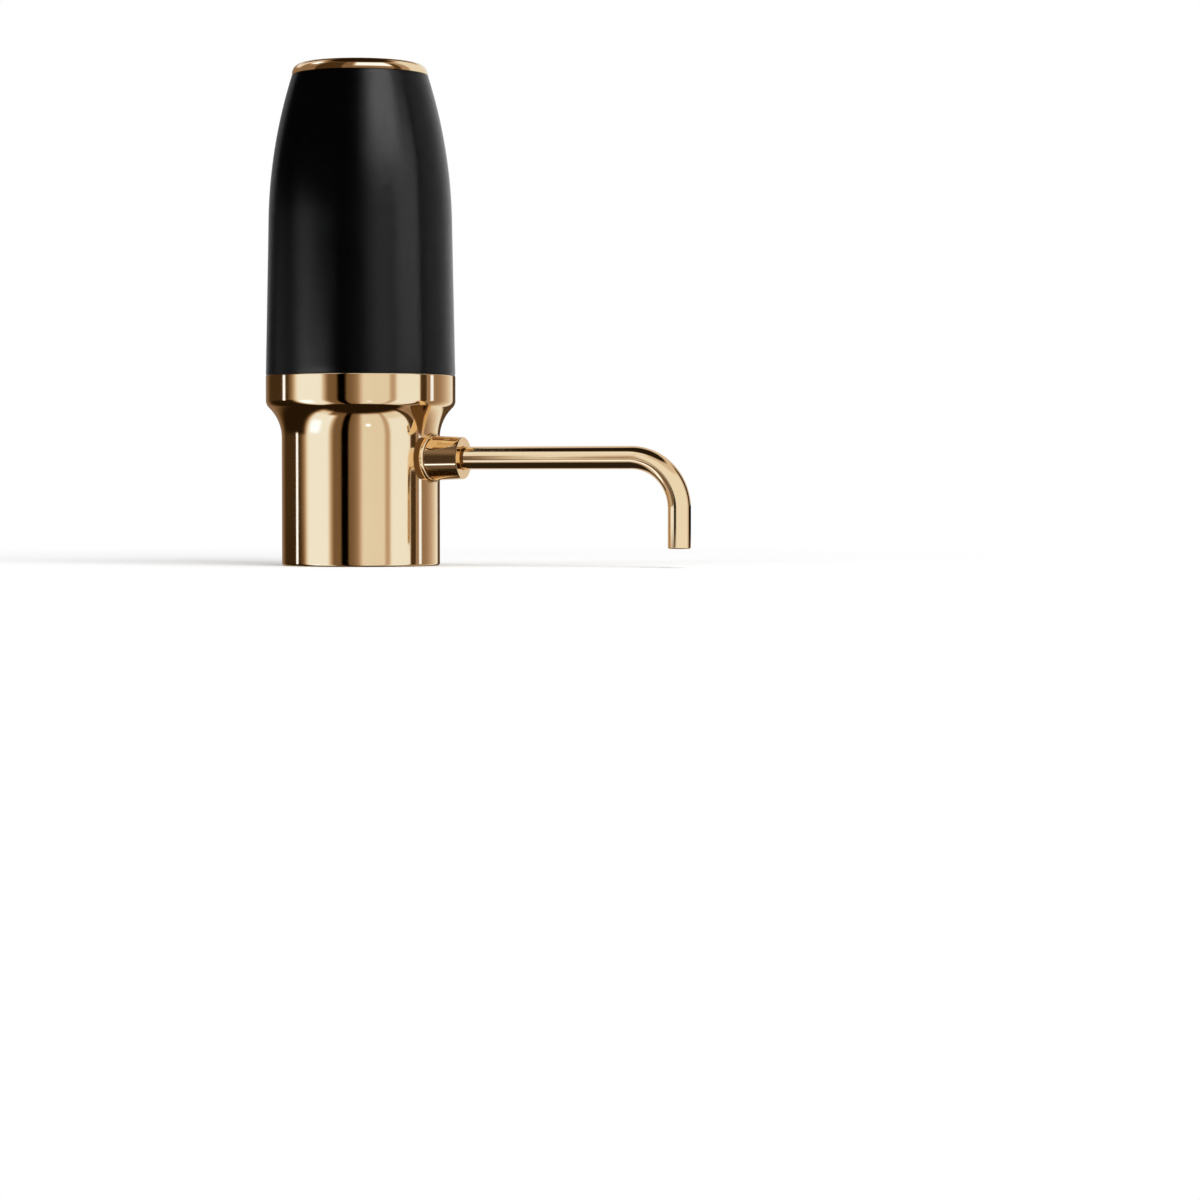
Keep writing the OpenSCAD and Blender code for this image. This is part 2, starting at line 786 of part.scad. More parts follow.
module grip_shell() {
    neck_z = ring_sleeve_z;
    color([0.07, 0.07, 0.07]) difference() {
        turned(concat([[0, grip_z]], grip_outline(0), [[0, grip_top_z]]));
        turned(concat([[0, grip_z - over], [grip_bore_r, grip_z - over]],
            [for (p = grip_outline(grip_wall)) if (p.y < neck_z) p], [[0, neck_z]]));
        rod(grip_bore_r, grip_z - over, spigot_h + slip_gap + over);
        snap_groove();
        rod(ring_sleeve_r + slip_gap, neck_z - grip_wall, grip_h);
        along_y(0, usb_z, grip_r + over) slot_outline(usb_w + 4 * slip_gap, usb_h + 4 * slip_gap);
    }
}

module top_ring() {
    color("goldenrod") turned(concat(
        [[ring_bore_r, ring_sleeve_z], [ring_sleeve_r, ring_sleeve_z], [ring_sleeve_r, grip_top_z],
            [grip_top_r, grip_top_z]],
        arc(grip_top_r - ring_fillet, ring_top - ring_fillet, ring_fillet, 0, 90),
        [[ring_bore_r + ring_edge, ring_top], [ring_bore_r, ring_top - ring_edge]]
    ));
}

// Crown of the button, an arc from its edge to the axis
function crown_outline() = let (
    r = (button_r * button_r + button_crown * button_crown) / (2 * button_crown)
) arc(0, ring_top - r, r, acos(button_r / r), 90);

module power_button() {
    skirt_bore = button_r - button_wall;
    flange_top = button_flange_z + button_flange_t;
    color([0.05, 0.05, 0.05]) {
        turned(concat(
            [[0, button_cap_z], [skirt_bore, button_cap_z], [skirt_bore, button_flange_z],
                [button_flange_r, button_flange_z], [button_flange_r, flange_top], [button_r, flange_top]],
            crown_outline()
        ));
        pipe(spring_r + spring_boss_wall / 2, spring_r - spring_boss_wall / 2, spring_top,
            button_cap_z - spring_top + eps);
        rod(stem_r, stem_z, button_cap_z - stem_z + eps);
    }
}

// Coil between the switch board and the button
module button_spring() {
    low = switch_board_top + spring_wire_r + run_gap;
    high = spring_top - spring_wire_r - run_gap;
    steps = spring_rings * spring_turns;
    coil = [for (i = [0:steps]) let (a = 360 * spring_turns * i / steps)
        [spring_r * cos(a), spring_r * sin(a), low + (high - low) * i / steps]];
    color("silver") wire(coil, spring_wire_r, [0, 0, 1]);
}

// Chassis

// Post on the side s of the middle plane, which the pump and the cell then hollow
module post(s) {
    y = s > 0 ? post_y0 : -post_y1;
    translate([post_x0, y, base_top - eps])
        cube([post_x1 - post_x0, post_y1 - post_y0, plate_z - base_top + 2 * eps]);
}

// Axes of the clamp's screws, which enter along +X
module at_clamp_screws(x) {
    for (s = [-1, 1])
        translate([x, s * clamp_screw_y, clamp_z + clamp_h / 2]) rotate([0, -90, 0]) children();
}

// Axes of the charge board's screws, which enter along -Y
module at_charge_screws(y) {
    for (z = charge_screw_z) translate([charge_screw_x, y, z]) rotate([-90, 0, 0]) children();
}

module chassis() {
    lead_hole_r = brush_y + brush_t + 2 * lead_r;
    notch_x0 = link_x[0] - 2 * lead_r;
    notch_x1 = link_x[3] + lead_r + slip_gap;
    notch_y0 = link_y - 2 * lead_r;
    thread_r = screw_r + run_gap;
    color("gray") difference() {
        union() {
            rod(base_r, manifold_top, base_t);
            for (s = [-1, 1]) post(s);
            at_pump() pipe(pedestal_r, pedestal_r - pedestal_wall, base_top - eps, pump_z - base_top + eps);
            at_cell() rod(cell_r - cell_seat_inset, base_top - eps, cell_seat_z - base_top + eps);
            rod(plate_r, plate_z, plate_t);
            round_about(2, standoff_pitch, standoff_turn)
                rod(standoff_r, plate_z + plate_t - eps, standoff_h + eps);
        }
        at_pump() rod(pump_r + slip_gap, pump_z, plate_z - pump_z);
        at_pump() round_about(3, pump_screw_pitch, pump_screw_turn)
            rod(screw_head_r + inner_gap, pump_z - screw_head_h - inner_gap, screw_head_h + over);
        at_cell() rod(cell_r + slip_gap, cell_seat_z, plate_z - cell_seat_z);
        at_pump() rod(hose_r + hose_gap, manifold_top - over, base_t + 2 * over);
        at_pump() rod(lead_hole_r, plate_z - over, plate_t + 2 * over);
        translate([notch_x0, notch_y0, plate_z - over])
            cube([notch_x1 - notch_x0, plate_r, plate_t + 2 * over]);
        round_about(deck_screws, deck_screw_pitch, deck_screw_turn)
            rod(screw_head_r + screw_head_room, manifold_top - over, base_t + 2 * over);
        at_angles(chassis_screw_turns, chassis_screw_pitch) {
            rod(screw_r + slip_gap, manifold_top - over, base_t + 2 * over);
            rod(screw_head_r + slip_gap, base_top, screw_head_h + over);
        }
        round_about(2, standoff_pitch, standoff_turn) rod(thread_r, plate_z, plate_t + standoff_h + over);
        at_clamp_screws(post_x0) rod(thread_r, -screw_bite, screw_bite + over);
        at_charge_screws(post_y1) rod(thread_r, -screw_bite, screw_bite + over);
    }
}

module chassis_screws() {
    color("silver") at_angles(chassis_screw_turns, chassis_screw_pitch)
        translate([0, 0, base_top]) screw(base_t + screw_bite - screw_slack);
}

// Strap round the motor with an ear on each post
module pump_clamp() {
    far = 2 * grip_r;
    color("gray") difference() {
        union() {
            intersection() {
                at_pump() pipe(clamp_in_r + clamp_t, clamp_in_r, clamp_z, clamp_h);
                translate([post_x0 - far, -far / 2, clamp_z]) cube([far, far, clamp_h]);
            }
            for (s = [-1, 1])
                translate([post_x0 - clamp_t, s > 0 ? clamp_arm_y : -clamp_ear_y, clamp_z])
                    cube([clamp_t, clamp_ear_y - clamp_arm_y, clamp_h]);
        }
        at_clamp_screws(post_x0) rod(screw_r + slip_gap, -over, clamp_t + 2 * over);
    }
}

module clamp_screws() {
    color("silver") at_clamp_screws(post_x0 - clamp_t) screw(clamp_t + screw_bite - screw_slack);
}

// Pump

// Through holes of the pump's screws
module pump_screw_holes(z, h) {
    round_about(3, pump_screw_pitch, pump_screw_turn) rod(screw_r + run_gap, z, h);
}

module pump_cover() {
    color("dimgray") at_pump() difference() {
        union() {
            rod(pump_r, pump_z, cover_t);
            rod(air_nipple_r, pump_z - air_nipple_l, air_nipple_l + eps);
        }
        rod(air_bore_r, pump_z - air_nipple_l - over, cover_t + air_nipple_l + 2 * over);
        rod(chamber_r, valve_plate_z - chamber_h, chamber_h + over);
        pump_screw_holes(pump_z - over, cover_t + 2 * over);
    }
}

module valve_plate() {
    port_pitch = (chamber_r + cup_stem_r) / 2;
    color("whitesmoke") at_pump() difference() {
        rod(pump_r, valve_plate_z, valve_plate_t);
        rod(cup_stem_r + slip_gap, valve_plate_z - over, valve_plate_t + 2 * over);
        round_about(cups, port_pitch) rod(cup_stem_r / 2, valve_plate_z - over, valve_plate_t + 2 * over);
        pump_screw_holes(valve_plate_z - over, valve_plate_t + 2 * over);
    }
}

// Umbrella valve that hangs from the valve plate in the cover's chamber
module outlet_valve() {
    cap_t = 0.6;
    color("lightgray") at_pump() {
        rod(chamber_r - valve_room, valve_plate_z - cap_t, cap_t);
        rod(cup_stem_r, valve_plate_z - eps, valve_plate_t);
    }
}

// Membrane with open cups and the stems that pass through the wobble plate
module pump_diaphragm() {
    stem_h = wobble_t + cup_head_h;
    color("lightgray") at_pump() difference() {
        union() {
            rod(pump_r, membrane_z, membrane_t);
            round_about(cups, cup_pitch) {
                rod(cup_r, housing_z - eps, cup_h + eps);
                rod(cup_stem_r, wobble_z - eps, stem_h + eps);
                rod(cup_head_r, wobble_z + wobble_t, cup_head_h);
            }
        }
        round_about(cups, cup_pitch)
            rod(cup_r - cup_wall, membrane_z - over, membrane_t + cup_h - cup_wall + over);
        pump_screw_holes(membrane_z - over, membrane_t + 2 * over);
    }
}

// Plate that presses the cups in turn, with the pin that the eccentric drives
module wobble_plate() {
    pin_top = eccentric_roof_z - eccentric_gap;
    color("whitesmoke") at_pump() {
        difference() {
            rod(wobble_r, wobble_z, wobble_t);
            round_about(cups, cup_pitch) rod(cup_stem_r + run_gap, wobble_z - over, wobble_t + 2 * over);
        }
        translate([drive_pin_x, 0, 0]) rod(drive_pin_r, wobble_z + eps, pin_top - wobble_z);
    }
}

// Cup under the motor, with flush screws in its roof
module pump_housing() {
    roof_z = motor_z - housing_top_t;
    color("dimgray") at_pump() difference() {
        rod(pump_r, housing_z, motor_z - housing_z);
        rod(pump_r - housing_wall, housing_z - over, roof_z - housing_z + over);
        rod(motor_boss_r + slip_gap, roof_z - over, housing_top_t + 2 * over);
        pump_screw_holes(housing_z - over, screw_bite + over);
        round_about(2, motor_screw_pitch, 90) {
            rod(screw_r + slip_gap, roof_z - over, housing_top_t + 2 * over);
            rod(screw_head_r + slip_gap, roof_z - over, screw_head_h + over);
        }
    }
}

module pump_screws() {
    stack = cover_t + valve_plate_t + membrane_t;
    color("silver") at_pump() round_about(3, pump_screw_pitch, pump_screw_turn)
        translate([0, 0, pump_z]) rotate([180, 0, 0]) screw(stack + screw_bite - screw_slack);
}

module motor_screws() {
    seat = motor_z - housing_top_t + screw_head_h;
    color("silver") at_pump() round_about(2, motor_screw_pitch, 90)
        translate([0, 0, seat]) rotate([180, 0, 0]) screw(motor_z + can_front_t - seat);
}

// Drive cup on the shaft with a half-moon weight; its hollow runs clear of the wobble plate's pin
module eccentric() {
    hollow_r = drive_pin_x + drive_pin_r + drive_pin_room;
    color("gainsboro") at_pump() difference() {
        union() {
            rod(eccentric_r, eccentric_z, eccentric_h);
            intersection() {
                rod(weight_r, eccentric_roof_z, eccentric_roof);
                translate([-weight_r, -weight_r, eccentric_roof_z])
                    cube([weight_r, 2 * weight_r, eccentric_roof]);
            }
        }
        rod(hollow_r, eccentric_z - over, eccentric_roof_z - eccentric_z + over);
        rod(shaft_r + eps, eccentric_z, eccentric_h + over);
    }
}

// Motor

module motor_can() {
    color("silver") at_pump() difference() {
        union() {
            rod(pump_r, motor_z, motor_l);
            rod(motor_boss_r, motor_z - motor_boss_h, motor_boss_h + eps);
        }
        rod(pump_r - can_wall, motor_z + can_front_t, motor_l);
        rod(bush_r + slip_gap, motor_z - motor_boss_h - over, motor_boss_h + can_front_t + 2 * over);
        round_about(2, motor_screw_pitch, 90)
            rod(screw_r + run_gap, motor_z - over, can_front_t + 2 * over);
    }
}

// Two arc magnets inside the can
module motor_magnets() {
    low = motor_z + can_front_t + magnet_lift;
    h = end_cap_z - magnet_headroom - low;
    color("dimgray") at_pump() intersection() {
        pipe(magnet_r, magnet_r - magnet_t, low, h);
        translate([-magnet_r, -magnet_half_w, low]) cube([2 * magnet_r, 2 * magnet_half_w, h]);
    }
}

// Bush in the can's nose and bush in the end cap
module motor_bushes() {
    color("darkgoldenrod") at_pump() for (z = [motor_z - motor_boss_h, end_cap_z])
        pipe(bush_r, shaft_r + run_gap, z, bush_h);
}

module motor_end_cap() {
    color("whitesmoke") at_pump() difference() {
        rod(pump_r, end_cap_z, end_cap_t);
        rod(bush_r + slip_gap, end_cap_z - over, bush_h + over);
        rod(shaft_r + 2 * run_gap, end_cap_z, shaft_top + 2 * run_gap - end_cap_z);
        for (s = [-1, 1]) translate([0, s * brush_y, end_cap_z + end_cap_t / 2])
            cube([brush_w + slip_gap, brush_t + slip_gap, end_cap_t + 2 * over], center = true);
    }
}

// Terminals that pass through the end cap, each with a brush finger that reaches the commutator
module motor_terminals() {
    reach = commutator_r + run_gap;
    color("goldenrod") at_pump() for (s = [0, 180]) rotate(s) {
        translate([-brush_w / 2, brush_y - brush_t / 2, brush_z])
            cube([brush_w, brush_t, terminal_top - brush_z]);
        translate([-brush_w / 2, reach, brush_z]) cube([brush_w, brush_y - reach, brush_t]);
    }
}

// Laminated core with slots for the windings
module rotor_core() {
    color("silver") at_pump() difference() {
        rod(rotor_r, rotor_z, rotor_top - rotor_z);
        rod(shaft_r + eps, rotor_z - over, rotor_top - rotor_z + 2 * over);
        round_about(rotor_slots, rotor_r - 2 * rotor_window_r) {
            rod(rotor_window_r, rotor_z - over, rotor_top - rotor_z + 2 * over);
            translate([0, -rotor_slot_w / 2, rotor_z - over])
                cube([rotor_r, rotor_slot_w, rotor_top - rotor_z + 2 * over]);
        }
    }
}

// End turns below and above the core
module rotor_windings() {
    color("chocolate") at_pump() for (z = [rotor_z - winding_h, rotor_top])
        pipe(rotor_r - air_gap, bush_r, z, winding_h);
}

module rotor_shaft() {
    color("silver") at_pump() rod(shaft_r, eccentric_roof_z, shaft_top - eccentric_roof_z);
}

module commutator() {
    color("chocolate") at_pump() pipe(commutator_r, shaft_r + eps, commutator_z, commutator_h);
}

// Battery

module battery_cell() {
    edge = 0.6;
    cap_r = 2.8;
    cap_h = 0.8;
    shoulder = cell_top - cap_h;
    color("steelblue") at_cell() turned([
        [0, cell_z], [cell_r - edge, cell_z], [cell_r, cell_z + edge], [cell_r, shoulder - edge],
        [cell_r - edge, shoulder], [cap_r, shoulder], [cap_r, cell_top], [0, cell_top]
    ]);
}

module cell_pad() {
    color("dimgray") at_cell() rod(cell_r - cell_seat_inset, cell_top + tab_t, plate_z - cell_top - tab_t);
}

// Strip on each end of the cell, folded along its side
module cell_tabs() {
    color("silver") for (top = [0, 1]) {
        z = top ? cell_top : cell_seat_z;
        fold_z = top ? z + tab_t - tab_fold : z;
        translate([cell_x - tab_w / 2, 0, z]) cube([tab_w, tab_y + tab_t, tab_t]);
        translate([cell_x - tab_w / 2, tab_y, fold_z]) cube([tab_w, tab_t, tab_fold]);
    }
}

// Boards and switch

module charge_board() {
    color("darkgreen") difference() {
        translate([-charge_board_w / 2, post_y1, charge_board_z])
            cube([charge_board_w, board_t, charge_board_h]);
        at_charge_screws(post_y1) rod(screw_r + slip_gap, -over, board_t + 2 * over);
    }
}

module charge_board_screws() {
    color("silver") at_charge_screws(charge_board_y) screw(board_t + screw_bite - screw_slack);
}

// Steel shell of the charging inlet, closed at the back
module usb_shell() {
    depth = usb_face_y - charge_board_y;
    color("silver") difference() {
        along_y(charge_board_y, usb_z, depth) slot_outline(usb_w, usb_h);
        along_y(charge_board_y + usb_back_t, usb_z, depth)
            slot_outline(usb_w - 2 * usb_wall, usb_h - 2 * usb_wall);
    }
}

module usb_tongue() {
    back_y = charge_board_y + usb_back_t;
    color("dimgray") along_y(back_y, usb_z, usb_face_y - usb_back_t - back_y)
        square([tongue_w, tongue_t], center = true);
}

module switch_board() {
    color("darkgreen") difference() {
        rod(switch_board_r, switch_board_z, board_t);
        round_about(2, standoff_pitch, standoff_turn)
            rod(screw_r + slip_gap, switch_board_z - over, board_t + 2 * over);
    }
}

module board_screws() {
    bite = board_t + standoff_h + plate_t - screw_slack;
    color("silver") round_about(2, standoff_pitch, standoff_turn)
        translate([0, 0, switch_board_top]) screw(bite);
}

module tact_switch() {
    well_h = switch_h - switch_floor_t;
    color("black") difference() {
        translate([-switch_w / 2, -switch_w / 2, switch_board_top]) cube([switch_w, switch_w, switch_h]);
        rod(plunger_r + run_gap, plunger_z - well_h, well_h + over);
    }
}

module switch_plunger() {
    color("white") rod(plunger_r, plunger_z - plunger_h, 2 * plunger_h);
}

// Leads

module motor_leads() {
    color("firebrick") for (s = [-1, 1])
        wire([for (z = [terminal_top, plate_z + plate_t, switch_board_z]) [pump_x, s * brush_y, z]],
            lead_r, [1, 0, 0]);
}

// One lead from each end of the cell to the charge board
module battery_leads() {
    tab_face = tab_y + tab_t;
    upper_z = cell_top - lead_inset;
    lower_z = cell_seat_z + lead_inset;
    upper = concat(
        [[cell_x, tab_face, upper_z], [cell_x, tab_face + lead_stub, upper_z]],
        [for (p = upper_route) [p.x, charge_board_mid + p.y, charge_board_top + p.z]],
        [for (z = [charge_board_top + lead_stub, charge_board_top]) [cell_lead_x, charge_board_mid, z]]
    );
    lower = concat(
        [[cell_x, tab_face, lower_z], [cell_x, tab_face + lead_stub, lower_z]],
        [for (p = lower_route) [p.x, charge_board_mid + p.y, charge_board_z + p.z]],
        [for (x = [lead_stub, 0]) [charge_board_w / 2 + x, charge_board_mid, cell_lead_z]]
    );
    color("firebrick") {
        wire(lead_path(upper), lead_r, [1, 1, 0]);
        wire(lead_path(lower), lead_r, [0, 0, 1]);
    }
}

// Four leads from the charge board up to the switch board
module board_link() {
    color("dimgray") for (x = link_x)
        wire(lead_path(concat(
            [for (z = [charge_board_top, charge_board_top + lead_stub]) [x, charge_board_mid, z]],
            [for (p = link_route) [x, charge_board_mid + p.x, charge_board_top + p.y]],
            [for (z = [switch_board_z - lead_stub, switch_board_z]) [x, link_y, z]]
        )), lead_r, [1, 0, 0]);
}

collar();
grip_shell();
top_ring();
power_button();
button_spring();
spout_socket();
socket_seal();
spout_seals();
spout_tube();
manifold();
deck_gasket();
manifold_screws();
stopper();
suction_barb();
air_inlet();
check_valve();
air_hose();
chassis();
chassis_screws();
pump_clamp();
clamp_screws();
pump_cover();
valve_plate();
outlet_valve();
pump_diaphragm();
wobble_plate();
pump_housing();
pump_screws();
eccentric();
motor_screws();
motor_can();
motor_magnets();
motor_bushes();
motor_end_cap();
motor_terminals();
rotor_core();
rotor_windings();
rotor_shaft();
commutator();
battery_cell();
cell_pad();
cell_tabs();
charge_board();
charge_board_screws();
usb_shell();
usb_tongue();
switch_board();
board_screws();
tact_switch();
switch_plunger();
motor_leads();
battery_leads();
board_link();
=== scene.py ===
"""Looks of the dispenser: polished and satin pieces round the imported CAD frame, studio and camera."""

import json
import math

import bpy
import numpy as np
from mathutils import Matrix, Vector


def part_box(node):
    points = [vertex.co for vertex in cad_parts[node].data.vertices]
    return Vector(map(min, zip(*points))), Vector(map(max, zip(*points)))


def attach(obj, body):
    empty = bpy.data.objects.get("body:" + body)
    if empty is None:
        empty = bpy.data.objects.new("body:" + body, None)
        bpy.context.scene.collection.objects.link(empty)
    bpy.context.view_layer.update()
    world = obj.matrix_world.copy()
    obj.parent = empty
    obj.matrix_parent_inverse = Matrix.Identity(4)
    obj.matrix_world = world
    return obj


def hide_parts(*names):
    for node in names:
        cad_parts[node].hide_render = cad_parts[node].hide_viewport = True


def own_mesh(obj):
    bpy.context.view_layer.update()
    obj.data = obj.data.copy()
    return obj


MM = 0.001
TAU = 2 * math.pi
NEAR = 1e-4

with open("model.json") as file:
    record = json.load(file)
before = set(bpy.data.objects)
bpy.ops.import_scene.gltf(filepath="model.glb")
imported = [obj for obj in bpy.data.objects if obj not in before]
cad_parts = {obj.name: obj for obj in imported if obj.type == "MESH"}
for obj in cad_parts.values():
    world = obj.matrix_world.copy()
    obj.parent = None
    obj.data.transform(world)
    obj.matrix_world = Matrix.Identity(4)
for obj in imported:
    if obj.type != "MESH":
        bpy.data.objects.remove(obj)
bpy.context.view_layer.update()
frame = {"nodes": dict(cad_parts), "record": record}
nodes = frame["nodes"]


# Sizes in millimetres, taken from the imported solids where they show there

grip_lo, grip_hi = (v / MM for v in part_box("grip_shell"))
ring_lo, ring_hi = (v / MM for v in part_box("top_ring"))
button_lo, button_hi = (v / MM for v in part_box("power_button"))
socket_lo, socket_hi = (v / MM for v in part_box("spout_socket"))
spout_lo, spout_hi = (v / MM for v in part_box("spout_tube"))
usb_lo, usb_hi = (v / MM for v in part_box("usb_shell"))

GRIP_R = grip_hi.x
GRIP_Z = grip_lo.z
GRIP_TOP_Z = grip_hi.z
GRIP_TOP_R = ring_hi.x
RING_TOP = ring_hi.z
COLLAR_R = 19.6
SKIRT_WALL, CORE_WALL = 1.6, 3.1
SPOUT_R = spout_hi.y
SPOUT_Z = spout_hi.z - SPOUT_R
SPOUT_REACH = spout_hi.x - SPOUT_R
SPOUT_BEND = 12.3
SPOUT_WALL = 0.7
SPOUT_BORE = SPOUT_R - SPOUT_WALL
BEND_X = SPOUT_REACH - SPOUT_BEND
BEND_L = SPOUT_BEND * math.pi / 2


# Mesh building


def add_object(name, verts, faces, smooth=True):
    """New mesh object in the scene."""
    mesh = bpy.data.meshes.new(name)
    mesh.from_pydata(verts, [], faces)
    if smooth:
        mesh.shade_smooth()
    obj = bpy.data.objects.new(name, mesh)
    bpy.context.scene.collection.objects.link(obj)
    return obj


def arc(x, y, r, a0, a1, step=3.0):
    """Points of an arc about (x, y), from angle a0 to a1 in degrees."""
    n = max(2, math.ceil(abs(a1 - a0) / step))
    angles = [math.radians(a0 + (a1 - a0) * i / n) for i in range(n + 1)]
    return [(x + r * math.cos(a), y + r * math.sin(a)) for a in angles]


def clean(points):
    """The outline without points that repeat."""
    kept = []
    for p in points:
        if not kept or math.dist(p, kept[-1]) > NEAR:
            kept.append(p)
    if math.dist(kept[0], kept[-1]) < NEAR:
        kept.pop()
    return kept


def upright(s):
    """Frame of the body's axis at height s: place, direction and two sides."""
    return Vector((0, 0, s)), Vector((0, 0, 1)), Vector((1, 0, 0)), Vector((0, 1, 0))


def level(s):
    """Frame of the spout's level axis at distance s from the body's axis."""
    return Vector((s, 0, SPOUT_Z)), Vector((1, 0, 0)), Vector((0, 0, 1)), Vector((0, -1, 0))


def spout_path(s):
    """Frame of the spout's axis: level, round the bend and down. s runs along it."""
    if s <= BEND_X:
        return level(s)
    a = min((s - BEND_X) / SPOUT_BEND, math.pi / 2)
    out = Vector((math.sin(a), 0, math.cos(a)))
    along = Vector((math.cos(a), 0, -math.sin(a)))
    place = Vector((BEND_X, 0, SPOUT_Z - SPOUT_BEND)) + SPOUT_BEND * out
    place += max(s - BEND_X - BEND_L, 0) * along
    return place, along, out, Vector((0, -1, 0))


def outline_normals(points, limit=30.0):
    """Normals of a closed outline at both ends of each edge, smooth across bends under the limit."""
    n = len(points)
    edges = []
    for i in range(n):
        (r0, s0), (r1, s1) = points[i], points[(i + 1) % n]
        length = math.hypot(r1 - r0, s1 - s0)
        edges.append(((s1 - s0) / length, -(r1 - r0) / length, length))
    ends = []
    for i in range(n):
        pair = []
        for j in (i - 1, (i + 1) % n):
            a, b = edges[i], edges[j]
            turn = math.degrees(math.acos(max(-1, min(1, a[0] * b[0] + a[1] * b[1]))))
            if turn > limit:
                pair.append((a[0], a[1]))
                continue
            x = a[0] * a[2] + b[0] * b[2]
            y = a[1] * a[2] + b[1] * b[2]
            size = math.hypot(x, y)
            pair.append((x / size, y / size))
        ends.append(pair)
    return ends


def swept(name, outline, path=upright, segments=256):
    """Closed mesh of (radius, distance) points carried round an axis, with exact normals."""
    points = clean(outline)
    n = len(points)
    normals = outline_normals(points)
    frames = [path(s) for _, s in points]
    verts, rings = [], []
    for (r, _), (place, _, side, up) in zip(points, frames):
        if r < NEAR:
            rings.append([len(verts)] * segments)
            verts.append(place * MM)
            continue
        rings.append(range(len(verts), len(verts) + segments))
        for k in range(segments):
            a = TAU * k / segments
            verts.append((place + r * (math.cos(a) * side + math.sin(a) * up)) * MM)
    faces, loops = [], []
    for i in range(n):
        j = (i + 1) % n
        if points[i][0] < NEAR and points[j][0] < NEAR:
            continue
        for k in range(segments):
            m = (k + 1) % segments
            corners = [(i, k, 0), (i, m, 0), (j, m, 1), (j, k, 1)]
            if points[i][0] < NEAR:
                corners = [(i, k, 0), (j, m, 1), (j, k, 1)]
            if points[j][0] < NEAR:
                corners = [(i, k, 0), (i, m, 0), (j, k, 1)]
            faces.append([rings[q][c] for q, c, _ in corners])
            for q, c, end in corners:
                _, along, side, up = frames[q]
                a = TAU * c / segments
                out, lift = normals[i][end]
                round_axis = math.cos(a) * side + math.sin(a) * up
                loops.append((out * round_axis + lift * along).normalized())
    obj = add_object(name, verts, faces)
    obj.data.normals_split_custom_set(loops)
    return obj


def place_piece(obj, body, node, material):
    """Sets a finished piece on its body in place of its CAD node."""
    obj.data.materials.clear()
    obj.data.materials.append(material)
    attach(obj, body)
    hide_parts(node)
    return obj


# Materials


class Shader:
    """A Principled material with its texture nodes, laid out from the object's own coordinates."""

    def __init__(self, name, colour, roughness, metallic=0.0, **inputs):
        self.material = bpy.data.materials.new(name)
        self.material.use_nodes = True
        self.tree = self.material.node_tree
        self.bsdf = self.tree.nodes["Principled BSDF"]
        self.colour = colour
        self.set("Base Color", (*colour, 1))
        self.set("Roughness", roughness)
        self.set("Metallic", metallic)
        for key, value in inputs.items():
            self.set(key.replace("_", " "), value)
        self.coords = self.node("ShaderNodeTexCoord").outputs["Object"]

    def set(self, socket, value):
        self.bsdf.inputs[socket].default_value = value

    def node(self, kind, **settings):
        made = self.tree.nodes.new(kind)
        for key, value in settings.items():
            setattr(made, key, value)
        return made

    def link(self, a, b):
        self.tree.links.new(a, b)

    def noise(self, scale, stretch=(1, 1, 1), detail=3.0, rough=0.5):
        """Noise over the object's coordinates, finer along an axis with a larger stretch."""
        mapping = self.node("ShaderNodeMapping")
        mapping.inputs["Scale"].default_value = stretch
        self.link(self.coords, mapping.inputs["Vector"])
        tex = self.node("ShaderNodeTexNoise")
        tex.inputs["Scale"].default_value = scale
        tex.inputs["Detail"].default_value = detail
        tex.inputs["Roughness"].default_value = rough
        self.link(mapping.outputs["Vector"], tex.inputs["Vector"])
        return tex.outputs["Fac"]

    def vary_colour(self, fac, low, high):
        """Base colour between two multiples of the plain colour."""
        ramp = self.node("ShaderNodeValToRGB")
        ramp.color_ramp.elements[0].position = 0.3
        ramp.color_ramp.elements[1].position = 0.7
        ramp.color_ramp.elements[0].color = (*[c * low for c in self.colour], 1)
        ramp.color_ramp.elements[1].color = (*[min(c * high, 1) for c in self.colour], 1)
        self.link(fac, ramp.inputs["Fac"])
        self.link(ramp.outputs["Color"], self.bsdf.inputs["Base Color"])

    def vary_roughness(self, fac, low, high):
        """Roughness between two values."""
        span = self.node("ShaderNodeMapRange")
        span.inputs["From Min"].default_value = 0.3
        span.inputs["From Max"].default_value = 0.7
        span.inputs["To Min"].default_value = low
        span.inputs["To Max"].default_value = high
        self.link(fac, span.inputs["Value"])
        self.link(span.outputs["Result"], self.bsdf.inputs["Roughness"])

    def bump(self, fac, strength, distance):
        """Fine relief of a given depth in metres."""
        made = self.node("ShaderNodeBump")
        made.inputs["Strength"].default_value = strength
        made.inputs["Distance"].default_value = distance
        self.link(fac, made.inputs["Height"])
        self.link(made.outputs["Normal"], self.bsdf.inputs["Normal"])


def polished_gold(name):
    """Mirror-polished gold plate with a faint haze and hair-fine polishing lines."""
    s = Shader(name, (0.87, 0.61, 0.32), 0.06, metallic=1.0, Specular_Tint=(1.0, 0.95, 0.86, 1))
    s.vary_colour(s.noise(45, detail=2), 0.985, 1.01)
    s.vary_roughness(s.noise(220, detail=4, rough=0.6), 0.045, 0.085)
    s.bump(s.noise(900, stretch=(0.4, 0.4, 6), detail=2), 0.004, 0.0001)
    return s.material


def satin_black(name):
    """Satin black lacquer over moulded plastic, with a very fine grain."""
    s = Shader(name, (0.0006, 0.0006, 0.0006), 0.2, IOR=1.38)
    s.vary_colour(s.noise(60, detail=3), 0.85, 1.15)
    s.vary_roughness(s.noise(140, detail=4, rough=0.6), 0.18, 0.22)
    s.bump(s.noise(5200, detail=2), 0.05, 0.00004)
    return s.material


